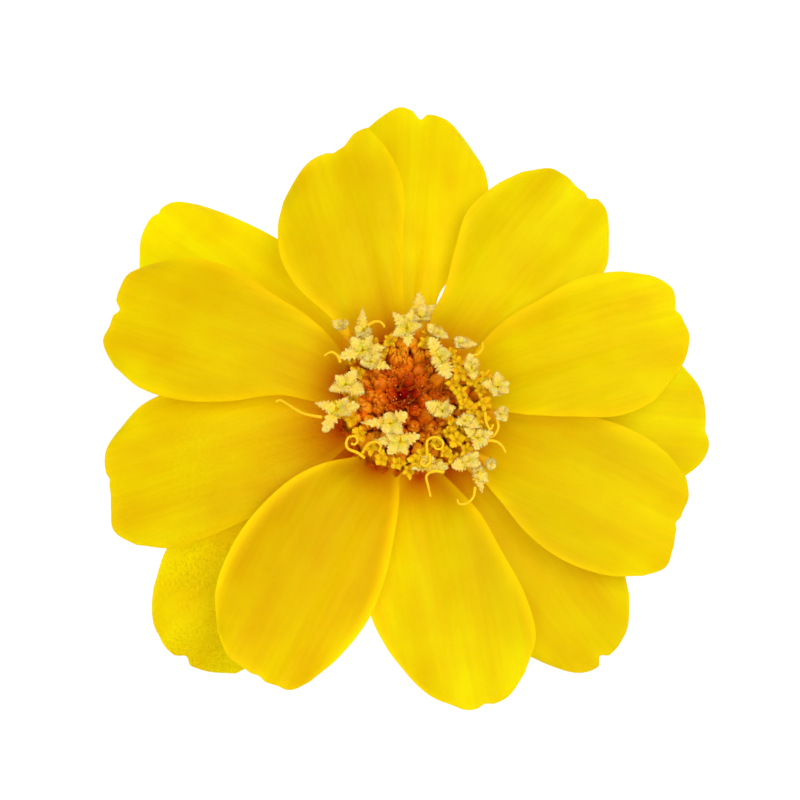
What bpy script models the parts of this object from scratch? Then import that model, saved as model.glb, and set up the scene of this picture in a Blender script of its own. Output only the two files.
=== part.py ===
"""A preserved zinnia flower head, face up, resting on the cut end of its stem stub.

Metres, +Z up. The origin is the middle of the flat cut end, which lies on z = 0. +Y is the top of the
flower as it is seen from above, and azimuths turn from +X towards +Y. Sizes below are in millimetres, and
MM turns them into metres.
"""

import math
import random

import bmesh
import bpy

MM = 0.001

# Stem stub and involucre, the green cup of overlapping scales under the petals
CUP_PROFILE = (
    (3.0, 0.0),
    (2.9, 1.5),
    (3.6, 2.2),
    (5.3, 3.2),
    (6.6, 4.6),
    (7.1, 6.0),
    (7.0, 7.2),
    (6.2, 7.7),
)
CUP_SIDES = 32
SCALE_ROWS = (
    # scales in the row, height of the root, height of the tip, half width
    (9, 1.9, 4.6, 1.9),
    (12, 2.7, 6.2, 1.9),
    (14, 3.9, 7.5, 1.7),
)
SCALE_STAND_OUT = (0.05, 0.55)
SCALE_EDGE_DROP = 0.25
SCALE_OVERLAP = 0.12
SCALE_ROUNDING = 0.35
SCALE_WIDTH_WAVE = (0.3, 0.58)
SCALE_SUNK = 0.7
SCALE_CELLS_WIDE = 2
SCALE_CELLS_LONG = 3

# Collar that the open disc florets grow from, with the mound of closed buds seated on it
COLLAR_RADIUS = 6.5
COLLAR_BOTTOM = 8.0
COLLAR_TOP = 11.0
COLLAR_SIDES = 24
COLLAR_BEVEL = 0.3
SEAT_GAP = 0.3

# Mound of closed buds round a sunken middle
MOUND_RADIUS = 4.9
MOUND_HEIGHT = 2.2
MOUND_SHOULDER = 1.2
MOUND_SIDES = 16
MOUND_STEPS = 5
CORE_SHARE = 0.55
CORE_LIFT = 0.3
BUD_COUNT = 54
BUD_SPACING = 0.62
BUD_RADIUS = 0.64
BUD_SIDES = 5
BUD_STAND = 1.05
BUD_PROFILE = ((0.6, -0.6), (1.0, 0.75), (0.9, 1.3), (0.4, 1.8))
BUD_ROOT_SHARE = 0.45
BUD_LOWEST_ROOT = 0.9
BUD_EDGE_MARGIN = 0.2
BUD_SIZES = (0.88, 1.12)
PIT_BUD_SIZE = 0.55
BUD_SEED = 7
PIT_RADIUS = 1.3
PIT_DEPTH = 0.55
PIT_CENTRE = (-0.2, 0.4)
GOLDEN_TURN = math.radians(137.508)

# Open florets: a tube that leans out from the collar and ends in a star of five lobes
FLORET_ROOT_RADIUS = 6.05
FLORET_ROOT_HEIGHT = 10.2
KNEE_OUT = 0.1
KNEE_UP = 0.7
TUBE_RADIUS = 0.38
THROAT_RADIUS = 0.6
LOBE_REACH = 1.9
LOBE_NOTCH = 0.9
LOBE_THICKNESS = 0.6
LOBE_RISE = 0.35
LOBES = 5
NECK_DROP = 0.3
THROAT_DIP = 0.15
TILT_PER_MM_OUT = 1 / 6
FLORETS = (
    # azimuth of the star, distance from the axis, height, turn of the star in degrees
    (64, 6.6, 15.2, 10),
    (89, 6.0, 15.6, 18),
    (81, 8.0, 14.3, 50),
    (121, 8.5, 15.0, 20),
    (129, 9.7, 14.0, 0),
    (133, 6.1, 15.8, 40),
    (146, 4.6, 16.0, 12),
    (172, 5.8, 16.2, 64),
    (194, 7.0, 16.0, 30),
    (240, 3.6, 16.2, 5),
    (263, 5.3, 15.8, 44),
    (284, 5.4, 15.2, 20),
    (311, 8.5, 14.8, 35),
    (311, 11.2, 13.8, 0),
    (322, 10.2, 14.4, 26),
    (329, 8.6, 15.4, 60),
    (337, 6.4, 16.0, 15),
    (340, 3.9, 16.2, 52),
    (352, 9.4, 14.8, 8),
    (4, 9.0, 15.4, 40),
    (22, 6.9, 15.8, 22),
    (38, 8.0, 14.6, 58),
    (46, 4.9, 16.2, 30),
)

# Young florets: straight closed tubes that fill the collar's rim between the open ones
YOUNG_COUNT = 22
YOUNG_RADIUS = 6.1
YOUNG_PROFILE = ((0.3, 10.6), (0.4, 11.8), (0.52, 13.2), (0.25, 14.0))
YOUNG_SIDES = 5

# Ray florets, the petals
BLADE_THICKNESS = 0.6
BLADE_ROOT = 6.85
CELLS_WIDE = 10
CELLS_LONG = 9
SIDE_STATIONS = (0.0, 0.1, 0.25, 0.45, 0.65, 0.85, 1.0)
RIM_STATIONS = (-1.0, -0.66, -0.33, 0.0, 0.33, 0.66, 1.0)
NOTCH_HALF_WIDTH = 0.13

# Height of a blade's middle line at these distances from the axis, for each of the three layers
LAYER_DISTANCES = (6.85, 9.0, 13.0, 20.0, 27.0, 34.0)
LAYER_HEIGHTS = {
    "back": (8.35, 8.6, 9.0, 8.6, 6.8, 4.4),
    "middle": (9.4, 9.8, 10.8, 10.9, 9.5, 7.7),
    "front": (10.45, 11.0, 12.4, 12.9, 11.9, 10.4),
}

# Each petal: layer, azimuth, half widths to the right and to the left from the root to the corner of
# the tip, reach of the tip from right to left, place and depth of the notch, and the lift of its left edge.
# Right and left are as seen from above by someone who looks outwards from the middle of the flower.
PETALS = (
    dict(layer="front", azimuth=107.0,
         right=(2.1, 2.5, 3.3, 4.7, 6.1, 5.9, 4.7), left=(2.1, 3.4, 4.9, 6.9, 7.7, 7.1, 5.8),
         rim=(28.9, 28.3, 27.3, 27.3, 26.9, 25.7, 23.9), notch=(-0.1, 0.2), lift=-0.5),
    dict(layer="back", azimuth=87.5,
         right=(2.1, 2.0, 3.25, 6.1, 7.3, 6.9, 5.1), left=(2.1, 2.9, 4.5, 6.2, 7.1, 7.0, 5.9),
         rim=(29.3, 31.1, 32.0, 32.3, 32.8, 31.7, 30.0), notch=(0.0, 0.7), lift=0.2),
    dict(layer="middle", azimuth=53.0,
         right=(2.1, 2.5, 3.9, 6.1, 7.4, 7.1, 5.2), left=(2.1, 3.1, 4.4, 5.9, 7.3, 6.8, 5.6),
         rim=(27.3, 28.9, 29.3, 28.9, 29.1, 28.9, 26.9), notch=(-0.26, 0.45), lift=0.4),
    dict(layer="front", azimuth=17.5,
         right=(2.1, 3.3, 4.9, 6.3, 7.5, 7.2, 5.5), left=(2.1, 3.8, 5.2, 6.2, 7.0, 6.7, 5.5),
         rim=(26.2, 28.1, 29.1, 29.2, 29.0, 28.9, 27.4), notch=(0.24, 0.5), lift=0.0),
    dict(layer="back", azimuth=-2.0,
         right=(2.1, 2.8, 4.2, 5.8, 6.8, 6.7, 5.4), left=(2.1, 3.1, 4.9, 6.6, 7.4, 7.6, 6.7),
         rim=(27.8, 29.8, 30.5, 30.2, 30.0, 29.3, 27.6), notch=(-0.03, 0.25), lift=-0.2),
    dict(layer="middle", azimuth=-24.5,
         right=(2.1, 3.1, 4.8, 6.9, 7.7, 7.1, 5.5), left=(2.1, 3.6, 4.8, 6.5, 7.2, 6.9, 5.5),
         rim=(28.4, 30.0, 29.9, 29.6, 29.3, 29.2, 28.3), notch=(0.15, 0.5), lift=0.0),
    dict(layer="back", azimuth=-51.0,
         right=(2.1, 3.0, 4.9, 6.5, 7.2, 6.8, 5.2), left=(2.1, 2.8, 4.2, 5.9, 7.2, 7.2, 5.9),
         rim=(28.0, 30.6, 31.6, 31.5, 31.3, 30.3, 28.2), notch=(-0.05, 0.6), lift=0.2),
    dict(layer="middle", azimuth=-79.0,
         right=(2.1, 3.5, 5.2, 6.9, 7.6, 6.6, 5.1), left=(2.1, 3.4, 5.1, 6.5, 7.8, 8.1, 6.4),
         rim=(26.5, 28.6, 29.9, 30.8, 30.7, 30.3, 28.4), notch=(0.3, 0.25), lift=0.0),
    dict(layer="front", azimuth=-117.0,
         right=(2.4, 4.8, 6.8, 8.3, 8.8, 8.3, 6.5), left=(2.6, 3.7, 4.9, 6.1, 6.5, 5.6, 4.1),
         rim=(28.7, 30.5, 30.9, 31.1, 31.0, 30.7, 29.1), notch=(-0.1, 0.2), lift=-0.3),
    dict(layer="back", azimuth=-136.0,
         right=(2.2, 3.4, 4.9, 6.4, 7.1, 6.9, 5.2), left=(2.1, 3.3, 5.2, 7.0, 8.0, 8.0, 6.8),
         rim=(30.4, 32.2, 33.1, 33.5, 33.2, 32.3, 30.5), notch=(0.3, 0.6), lift=-0.2),
    dict(layer="middle", azimuth=-165.0,
         right=(2.4, 3.9, 5.5, 7.1, 7.8, 7.4, 5.4), left=(2.1, 3.4, 5.2, 6.7, 7.4, 7.5, 6.1),
         rim=(28.9, 30.3, 30.7, 30.8, 31.1, 31.4, 29.7), notch=(-0.2, 0.4), lift=0.0),
    dict(layer="front", azimuth=161.0,
         right=(2.1, 3.9, 5.2, 6.3, 7.4, 7.3, 5.9), left=(2.1, 2.6, 3.4, 5.6, 7.0, 7.0, 5.6),
         rim=(28.9, 30.8, 31.2, 31.0, 30.8, 30.9, 29.2), notch=(0.0, 0.5), lift=0.0),
    dict(layer="back", azimuth=140.0,
         right=(2.1, 3.0, 4.6, 5.6, 5.4, 4.6, 3.7), left=(2.1, 3.1, 5.0, 6.5, 7.1, 6.8, 5.5),
         rim=(31.0, 32.7, 33.5, 33.7, 33.4, 32.5, 31.1), notch=(-0.1, 0.2), lift=0.2),
)

# Cross section of a blade: a trough by the root that turns into an arch, with shallow lengthwise folds
TROUGH_RISE = 0.45
TROUGH_LENGTH = 0.4
ARCH_DROP = 0.65
FOLD_DEPTH = 0.14
FOLD_LENGTH = 0.9
FOLDS_ACROSS = 2.5
TIP_CURL = 0.35
TIP_CURL_POWER = 6

# Finish of each kind of piece: colour, roughness
FINISHES = {
    "petal": ((0.94, 0.68, 0.0), 0.55),
    "orange bud": ((0.68, 0.2, 0.01), 0.4),
    "pale floret": ((0.88, 0.68, 0.2), 0.7),
    "green scale": ((0.22, 0.27, 0.06), 0.6),
}


def clear_scene():
    for thing in list(bpy.data.objects):
        bpy.data.objects.remove(thing, do_unlink=True)


def finish(name):
    """The material of that name, made on its first use."""
    if name in bpy.data.materials:
        return bpy.data.materials[name]
    colour, roughness = FINISHES[name]
    material = bpy.data.materials.new(name)
    material.use_nodes = True
    shader = material.node_tree.nodes["Principled BSDF"]
    shader.inputs["Base Color"].default_value = (*colour, 1.0)
    shader.inputs["Roughness"].default_value = roughness
    shader.inputs["Metallic"].default_value = 0.0
    return material


def add_object(name, vertices, faces, sharp_above=40):
    """An object with a smooth-shaded mesh, from points in millimetres."""
    mesh = bpy.data.meshes.new(name)
    mesh.from_pydata([[c * MM for c in point] for point in vertices], [], faces)
    piece = bpy.data.objects.new(name, mesh)
    bpy.context.scene.collection.objects.link(piece)
    shade(piece, sharp_above)
    return piece


def shade(piece, sharp_above):
    piece.data.shade_smooth()
    piece.data.set_sharp_from_angle(angle=math.radians(sharp_above))


def set_finish(piece, finish_name):
    piece.data.materials.clear()
    piece.data.materials.append(finish(finish_name))


def smooth_between(stations, values, place):
    """A smooth curve through the values, read at one place among the stations."""
    place = min(max(place, stations[0]), stations[-1])
    last = len(stations) - 2
    i = 0
    while i < last and place > stations[i + 1]:
        i += 1

    def slope(k):
        low, high = max(k - 1, 0), min(k + 1, len(stations) - 1)
        return (values[high] - values[low]) / (stations[high] - stations[low])

    span = stations[i + 1] - stations[i]
    t = (place - stations[i]) / span
    rise = (
        (2 * t**3 - 3 * t**2 + 1) * values[i]
        + (3 * t**2 - 2 * t**3) * values[i + 1]
        + (t**3 - 2 * t**2 + t) * span * slope(i)
        + (t**3 - t**2) * span * slope(i + 1)
    )
    return rise


def rim_reach(petal, across):
    """Distance from the axis to the tip's edge, across from -1 at the right to 1 at the left."""
    place, depth = petal["notch"]
    dip = depth * max(0.0, 1.0 - abs(across - place) / NOTCH_HALF_WIDTH)
    return smooth_between(RIM_STATIONS, petal["rim"], across) - dip


def blade_plan(petal, across, along):
    """Distance outwards and to the left of a point of the blade, in millimetres."""
    outwards = BLADE_ROOT + along * (rim_reach(petal, across) - BLADE_ROOT)
    side = petal["left"] if across > 0 else petal["right"]
    return outwards, across * smooth_between(SIDE_STATIONS, side, along)


def blade_height(petal, across, along, outwards):
    """Height of the middle of the blade's thickness."""
    height = smooth_between(LAYER_DISTANCES, LAYER_HEIGHTS[petal["layer"]], outwards)
    trough = TROUGH_RISE * math.sin(math.pi * min(along / TROUGH_LENGTH, 1.0)) * across**2
    arch = ARCH_DROP * along * across**2
    fold_depth = FOLD_DEPTH * math.sin(math.pi * min(along / FOLD_LENGTH, 1.0))
    fold = fold_depth * math.cos(math.pi * FOLDS_ACROSS * across)
    curl = TIP_CURL * along**TIP_CURL_POWER * math.cos(2 * math.pi * (across - petal["notch"][0]))
    return height + trough - arch - fold - curl + petal["lift"] * along * across


def blade_columns(petal):
    """Places across the blade, evenly spaced but with one on the notch."""
    place = petal["notch"][0]
    right_cells = round(CELLS_WIDE * (place + 1) / 2)
    right = [-1 + (place + 1) * i / right_cells for i in range(right_cells)]
    left_cells = CELLS_WIDE - right_cells
    return right + [place + (1 - place) * i / left_cells for i in range(left_cells + 1)]


def slab_faces(wide, long):
    """Triangles of a closed slab of wide by long cells, split alike on its two faces."""
    row = wide + 1
    under = row * (long + 1)
    faces = []
    for j in range(long):
        for i in range(wide):
            a, b = j * row + i, j * row + i + 1
            c, d = b + row, a + row
            faces += [(a, b, c), (a, c, d)]
            faces += [(under + a, under + c, under + b), (under + a, under + d, under + c)]
    edge = list(range(row))
    edge += [j * row + wide for j in range(1, long + 1)]
    edge += [long * row + i for i in range(wide - 1, -1, -1)]
    edge += [j * row for j in range(long - 1, 0, -1)]
    for k, a in enumerate(edge):
        b = edge[(k + 1) % len(edge)]
        faces += [(a, under + a, under + b), (a, under + b, b)]
    return faces


def ray_floret(name, petal):
    """One petal: a thin blade that narrows to a claw at the rim of the collar."""
    turn = math.radians(petal["azimuth"])
    columns = blade_columns(petal)
    middle = []
    for j in range(CELLS_LONG + 1):
        along = j / CELLS_LONG
        for across in columns:
            out, left = blade_plan(petal, across, along)
            x = out * math.cos(turn) - left * math.sin(turn)
            y = out * math.sin(turn) + left * math.cos(turn)
            middle.append((x, y, blade_height(petal, across, along, out)))
    half = BLADE_THICKNESS / 2
    top = [(x, y, z + half) for x, y, z in middle]
    bottom = [(x, y, z - half) for x, y, z in middle]
    piece = add_object(name, top + bottom, slab_faces(len(columns) - 1, CELLS_LONG), sharp_above=60)
    point_outwards(piece)
    set_finish(piece, "petal")
    return piece


def point_outwards(piece):
    """Turns the faces of a closed mesh outwards."""
    shell = bmesh.new()
    shell.from_mesh(piece.data)
    bmesh.ops.recalc_face_normals(shell, faces=shell.faces)
    shell.to_mesh(piece.data)
    shell.free()


def turned(name, profile, sides, centre=(0.0, 0.0), phase=0.0):
    """A solid turned round the vertical from a profile of (radius, height), closed at both ends."""
    rings = len(profile)
    vertices = []
    for radius, height in profile:
        for k in range(sides):
            turn = phase + 2 * math.pi * k / sides
            x = centre[0] + radius * math.cos(turn)
            y = centre[1] + radius * math.sin(turn)
            vertices.append((x, y, height))
    faces = []
    for j in range(rings - 1):
        for k in range(sides):
            a, b = j * sides + k, j * sides + (k + 1) % sides
            faces.append((a, b, b + sides, a + sides))
    faces.append(tuple(range(sides - 1, -1, -1)))
    faces.append(tuple(range((rings - 1) * sides, rings * sides)))
    return add_object(name, vertices, faces)


def grow_into(core, repeats):
    """Fuses the repeats and their core into one body, and removes the repeats."""
    bunch = bpy.data.collections.new(core.name + " repeats")
    bpy.context.scene.collection.children.link(bunch)
    for piece in repeats:
        bpy.context.scene.collection.objects.unlink(piece)
        bunch.objects.link(piece)
    union = core.modifiers.new("fuse", "BOOLEAN")
    union.operation = "UNION"
    union.operand_type = "COLLECTION"
    union.collection = bunch
    union.solver = "MANIFOLD"
    apply_modifiers(core)
    for piece in repeats:
        bpy.data.objects.remove(piece, do_unlink=True)
    bpy.data.collections.remove(bunch)
    return core


def apply_modifiers(piece):
    depsgraph = bpy.context.evaluated_depsgraph_get()
    mesh = bpy.data.meshes.new_from_object(piece.evaluated_get(depsgraph))
    piece.modifiers.clear()
    piece.data = mesh


def cup_radius(height):
    """Radius of the cup's own surface at a height."""
    heights = [point[1] for point in CUP_PROFILE]
    radii = [point[0] for point in CUP_PROFILE]
    return smooth_between(heights, radii, height)


def cup_scale(azimuth, root, tip, half_width):
    """One scale of the involucre, sunk in the cup and standing out towards its rounded tip."""
    outer, inner = [], []
    low, high = SCALE_STAND_OUT
    wave_start, wave_length = SCALE_WIDTH_WAVE
    for j in range(SCALE_CELLS_LONG + 1):
        along = j / SCALE_CELLS_LONG
        height = root + (tip - root) * along
        radius = cup_radius(height)
        width = half_width * math.sin(math.pi * (wave_start + wave_length * along))
        for i in range(SCALE_CELLS_WIDE + 1):
            across = -1 + 2 * i / SCALE_CELLS_WIDE
            turn = math.radians(azimuth) + across * width / radius
            stand_out = low + (high - low) * along - SCALE_EDGE_DROP * across**2 + SCALE_OVERLAP * across
            point_height = height - SCALE_ROUNDING * across**2 * along
            point_out = radius + stand_out
            outer.append((point_out * math.cos(turn), point_out * math.sin(turn), point_height))
            point_in = radius - SCALE_SUNK
            inner.append((point_in * math.cos(turn), point_in * math.sin(turn), point_height))
    piece = add_object("scale", outer + inner, slab_faces(SCALE_CELLS_WIDE, SCALE_CELLS_LONG))
    point_outwards(piece)
    return piece


def involucre():
    """The cup under the petals: stem stub, receptacle and three rows of scales, grown as one."""
    cup = turned("involucre", CUP_PROFILE, CUP_SIDES)
    scales = []
    for row, (count, root, tip, half_width) in enumerate(SCALE_ROWS):
        for k in range(count):
            azimuth = 360 * (k + 0.37 * row) / count
            scales.append(cup_scale(azimuth, root, tip, half_width))
    grow_into(cup, scales)
    shade(cup, 35)
    set_finish(cup, "green scale")
    return cup


def bud(x, y, seat, size, phase):
    """A closed floret: a slim stalk that swells into a rounded, slightly pointed head."""
    stand = BUD_STAND * size
    rings = [(radius * BUD_RADIUS * size, seat + height * stand) for radius, height in BUD_PROFILE]
    return turned("bud", rings, BUD_SIDES, (x, y), phase)


def mound_height(distance):
    """Height of the mound of buds above its seat, lower in the middle and towards the rim."""
    shoulder = math.sqrt(math.cos(math.pi / 2 * distance / (MOUND_RADIUS + MOUND_SHOULDER)))
    pit = PIT_DEPTH * math.exp(-((distance / PIT_RADIUS) ** 2))
    return MOUND_HEIGHT * (shoulder - pit)


def disc_buds():
    """The closed florets of the disc, in a spiral over a mound."""
    seat = COLLAR_TOP + SEAT_GAP
    profile = [(MOUND_RADIUS, seat)]
    for k in range(MOUND_STEPS, 0, -1):
        distance = MOUND_RADIUS * k / MOUND_STEPS
        profile.append((distance, seat + mound_height(distance) * CORE_SHARE + CORE_LIFT))
    mound = turned("disc_buds", profile, MOUND_SIDES)
    draw = random.Random(BUD_SEED)
    buds = []
    for k in range(BUD_COUNT):
        distance = BUD_SPACING * math.sqrt(k + 0.8)
        turn = k * GOLDEN_TURN
        size = draw.uniform(*BUD_SIZES)
        if distance < PIT_RADIUS:
            size = PIT_BUD_SIZE
        distance = min(distance, MOUND_RADIUS - BUD_EDGE_MARGIN)
        off_centre = 1 - distance / MOUND_RADIUS
        x = PIT_CENTRE[0] * off_centre + distance * math.cos(turn)
        y = PIT_CENTRE[1] * off_centre + distance * math.sin(turn)
        root = seat + max(BUD_LOWEST_ROOT, mound_height(distance) * BUD_ROOT_SHARE)
        buds.append(bud(x, y, root, size, draw.uniform(0, 2 * math.pi)))
    grow_into(mound, buds)
    shade(mound, 50)
    set_finish(mound, "orange bud")
    return mound


def open_floret(azimuth, distance, height, star_turn):
    """A tube from the collar to a star of five lobes that faces up and outwards."""
    turn = math.radians(azimuth)
    outward = (math.cos(turn), math.sin(turn))
    root = (FLORET_ROOT_RADIUS * outward[0], FLORET_ROOT_RADIUS * outward[1], FLORET_ROOT_HEIGHT)
    throat = (distance * outward[0], distance * outward[1], height)
    knee = tuple(a + (b - a) * share for a, b, share in zip(root, throat, (KNEE_OUT, KNEE_OUT, KNEE_UP)))
    lean = (distance - FLORET_ROOT_RADIUS) * TILT_PER_MM_OUT
    vertices = []

    def ring(centre, radius, drop, tilt, phase):
        for k in range(LOBES):
            angle = phase + 2 * math.pi * k / LOBES
            east, north = radius * math.cos(angle), radius * math.sin(angle)
            away = east * outward[0] + north * outward[1]
            vertices.append((centre[0] + east, centre[1] + north, centre[2] + drop - tilt * away))

    phase = math.radians(star_turn)
    half_step = math.pi / LOBES
    ring(root, TUBE_RADIUS, 0.0, 0.0, phase)
    ring(knee, TUBE_RADIUS, 0.0, lean / 2, phase)
    ring(throat, THROAT_RADIUS, -LOBE_THICKNESS - NECK_DROP, lean, phase)
    ring(throat, LOBE_NOTCH, -LOBE_THICKNESS, lean, phase)
    ring(throat, LOBE_REACH, LOBE_RISE - LOBE_THICKNESS, lean, phase + half_step)
    ring(throat, LOBE_NOTCH, 0.0, lean, phase)
    ring(throat, LOBE_REACH, LOBE_RISE, lean, phase + half_step)
    vertices.append((throat[0], throat[1], throat[2] - THROAT_DIP))
    foot, bend, neck, notch_under, tip_under, notch_top, tip_top, middle = (LOBES * k for k in range(8))
    faces = [tuple(foot + k for k in range(LOBES - 1, -1, -1))]
    for k in range(LOBES):
        n = (k + 1) % LOBES
        faces.append((foot + k, foot + n, bend + n, bend + k))
        faces.append((bend + k, bend + n, neck + n, neck + k))
        faces.append((neck + k, neck + n, notch_under + n, notch_under + k))
        faces.append((notch_under + k, notch_under + n, tip_under + k))
        faces.append((notch_under + k, tip_under + k, tip_top + k, notch_top + k))
        faces.append((tip_under + k, notch_under + n, notch_top + n, tip_top + k))
        faces.append((notch_top + k, tip_top + k, middle))
        faces.append((tip_top + k, notch_top + n, middle))
    piece = add_object("floret", vertices, faces)
    point_outwards(piece)
    return piece


def young_floret(azimuth):
    """A closed tube that stands in the collar's rim."""
    turn = math.radians(azimuth)
    centre = (YOUNG_RADIUS * math.cos(turn), YOUNG_RADIUS * math.sin(turn))
    return turned("young floret", YOUNG_PROFILE, YOUNG_SIDES, centre)


def open_florets():
    """The open and young florets, and the collar of their fused feet, which holds them together."""
    profile = (
        (COLLAR_RADIUS - COLLAR_BEVEL, COLLAR_BOTTOM),
        (COLLAR_RADIUS, COLLAR_BOTTOM + COLLAR_BEVEL),
        (COLLAR_RADIUS, COLLAR_TOP - COLLAR_BEVEL),
        (COLLAR_RADIUS - COLLAR_BEVEL, COLLAR_TOP),
    )
    collar = turned("open_florets", profile, COLLAR_SIDES)
    opened = [open_floret(*floret) for floret in FLORETS]
    young = [young_floret(360 * k / YOUNG_COUNT) for k in range(YOUNG_COUNT)]
    grow_into(collar, opened + young)
    shade(collar, 35)
    set_finish(collar, "pale floret")
    return collar


clear_scene()
involucre()
open_florets()
disc_buds()
for number, petal in enumerate(PETALS, start=1):
    ray_floret(f"ray_floret_{number:02d}", petal)
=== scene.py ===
# %% [markdown]
# # A preserved zinnia flower head
#
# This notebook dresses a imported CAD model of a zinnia: thirteen yellow petals in three layers, a disc of
# orange buds ringed by open star florets, and the green cup of scales that carries them all.
#
# The CAD solids are the frame. They give every piece its place, and each piece made here lies in the space
# of the solid that it replaces. All lengths below are named in millimetres and multiplied by MM, because
# Blender works in metres.

# %% Load the frame
import math
import random

import bpy
import numpy as np
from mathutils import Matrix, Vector


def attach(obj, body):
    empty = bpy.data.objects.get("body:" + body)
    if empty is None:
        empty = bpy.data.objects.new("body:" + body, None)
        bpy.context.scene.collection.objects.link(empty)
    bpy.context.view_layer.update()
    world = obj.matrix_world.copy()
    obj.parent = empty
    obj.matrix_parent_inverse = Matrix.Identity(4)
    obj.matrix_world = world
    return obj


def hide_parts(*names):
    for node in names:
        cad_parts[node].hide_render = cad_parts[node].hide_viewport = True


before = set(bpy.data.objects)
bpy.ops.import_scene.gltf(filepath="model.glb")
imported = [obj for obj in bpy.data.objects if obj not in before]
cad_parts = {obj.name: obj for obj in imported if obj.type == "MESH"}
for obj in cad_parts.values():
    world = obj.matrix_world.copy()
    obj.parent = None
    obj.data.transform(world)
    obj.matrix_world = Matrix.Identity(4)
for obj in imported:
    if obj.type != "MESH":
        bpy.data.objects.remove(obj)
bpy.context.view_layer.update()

MM = 0.001

# %% [markdown]
# ## Small helpers
#
# A colour is written as the hex value that a paint program shows. Shaders work in linear light, so one
# function turns it. Every shader and every Geometry Nodes tree below is built by one more function, which
# adds a node with its settings and links. The others make objects whose place is in their points, as the
# frame asks.

# %% Helpers for colour and nodes
def linear(hex_colour):
    """The linear RGBA of an sRGB hex value such as "#F7D900"."""
    channels = []
    for start in (1, 3, 5):
        value = int(hex_colour[start:start + 2], 16) / 255
        low = value / 12.92
        high = ((value + 0.055) / 1.055) ** 2.4
        channels.append(low if value <= 0.04045 else high)
    return (*channels, 1.0)


def add_node(tree, kind, *values, settings=None, stops=(), **inputs):
    """Adds a node. Its kind may end in its operation, as in "ShaderNodeMath.ADD".

    Values fill the inputs in order, and the others are given by name, or by number as in i6. Each is a
    plain value, a socket, or a node that stands for its first output. Settings are the node's properties,
    and stops are the (place, hex) pairs of a colour ramp.
    """
    kind, _, operation = kind.partition(".")
    node = tree.nodes.new(kind)
    for key, value in (settings or {}).items():
        setattr(node, key, value)
    if operation:
        node.operation = operation
    for _ in stops[2:]:
        node.color_ramp.elements.new(1.0)
    for (place, colour), element in zip(stops, node.color_ramp.elements if stops else ()):
        element.position = place
        element.color = linear(colour)
    named = {int(name[1:]) if name[1:].isdigit() else name.replace("_", " "): value
             for name, value in inputs.items()}
    for name, value in [*enumerate(values), *named.items()]:
        if isinstance(value, bpy.types.Node):
            value = value.outputs[0]
        if isinstance(value, bpy.types.NodeSocket):
            tree.links.new(value, node.inputs[name])
        else:
            node.inputs[name].default_value = value
    return node


def empty_material(name):
    """A new material and its shader tree, which has no nodes yet."""
    material = bpy.data.materials.new(name)
    material.use_nodes = True
    material.node_tree.nodes.clear()
    return material, material.node_tree


print("linear yellow:", [round(channel, 3) for channel in linear("#F7D900")])

# %% Helpers for objects and meshes
def add_object(name, data):
    """Puts a mesh, a light or a camera into the scene."""
    item = bpy.data.objects.new(name, data)
    bpy.context.scene.collection.objects.link(item)
    return item


def new_piece(name, points_mm, faces, sharp_above=0):
    """A mesh object at the origin, from points in millimetres."""
    mesh = bpy.data.meshes.new(name)
    mesh.from_pydata((np.asarray(points_mm) * MM).tolist(), [], faces)
    mesh.update()
    mesh.shade_smooth()
    if sharp_above:
        mesh.set_sharp_from_angle(angle=math.radians(sharp_above))
    return add_object(name, mesh)


def point_attribute(piece, name, vectors):
    """Stores one vector a point, which a material can read by name."""
    attribute = piece.data.attributes.new(name, "FLOAT_VECTOR", "POINT")
    attribute.data.foreach_set("vector", np.asarray(vectors, dtype=np.float32).ravel())


def triangles(piece):
    """How many triangles a piece has."""
    piece.data.calc_loop_triangles()
    return len(piece.data.loop_triangles)


def as_plain_mesh(piece):
    """Replaces a piece's modifiers by the mesh that they make."""
    depsgraph = bpy.context.evaluated_depsgraph_get()
    mesh = bpy.data.meshes.new_from_object(piece.evaluated_get(depsgraph))
    piece.modifiers.clear()
    piece.data = mesh
    return piece


# %% [markdown]
# ## Camera, floor and light
#
# The photograph looks down on the flower from a little below its face's axis, on plain white. The camera
# stands at that angle, far off with a long lens, so that the petals keep their true proportions. Two soft
# lights are enough: a key from the upper right, which shades the lower left of each petal, and a wide,
# faintly warm fill from the camera's side, which opens the shadows. A white floor glows a little, so that it
# stays pale under the flower.

# %% Camera
CAMERA_ELEVATION = math.radians(77)
CAMERA_DISTANCE = 450
PIXELS_PER_MM = 10
IMAGE_PIXELS = 800
FLOWER_PIXEL = (407, 409)
PETAL_LEVEL = 10
SENSOR_WIDTH = 36


def place_camera():
    """A camera whose picture shows the flower's axis, at petal level, where the photograph has it."""
    view = Vector((0, -math.cos(CAMERA_ELEVATION), math.sin(CAMERA_ELEVATION)))
    up = Vector((0, math.sin(CAMERA_ELEVATION), math.cos(CAMERA_ELEVATION)))
    middle = IMAGE_PIXELS / 2
    right_mm = (middle - FLOWER_PIXEL[0]) / PIXELS_PER_MM
    up_mm = (FLOWER_PIXEL[1] - middle) / PIXELS_PER_MM
    target = Vector((right_mm, 0, PETAL_LEVEL)) + up * up_mm
    data = bpy.data.cameras.new("camera")
    data.sensor_width = SENSOR_WIDTH
    data.lens = SENSOR_WIDTH * CAMERA_DISTANCE * PIXELS_PER_MM / IMAGE_PIXELS
    data.clip_start = 0.01
    camera = add_object("camera", data)
    camera.location = (target + view * CAMERA_DISTANCE) * MM
    camera.rotation_euler = (-view).to_track_quat("-Z", "Y").to_euler()
    bpy.context.scene.camera = camera
    return camera


camera = place_camera()
print("lens, mm:", round(camera.data.lens, 1), "place, mm:", [round(c / MM) for c in camera.location])

# %% Floor and light
FLOOR_HALF = 900
FLOOR_SAG = 0.05
PAPER_GLOW = 0.95
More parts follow.
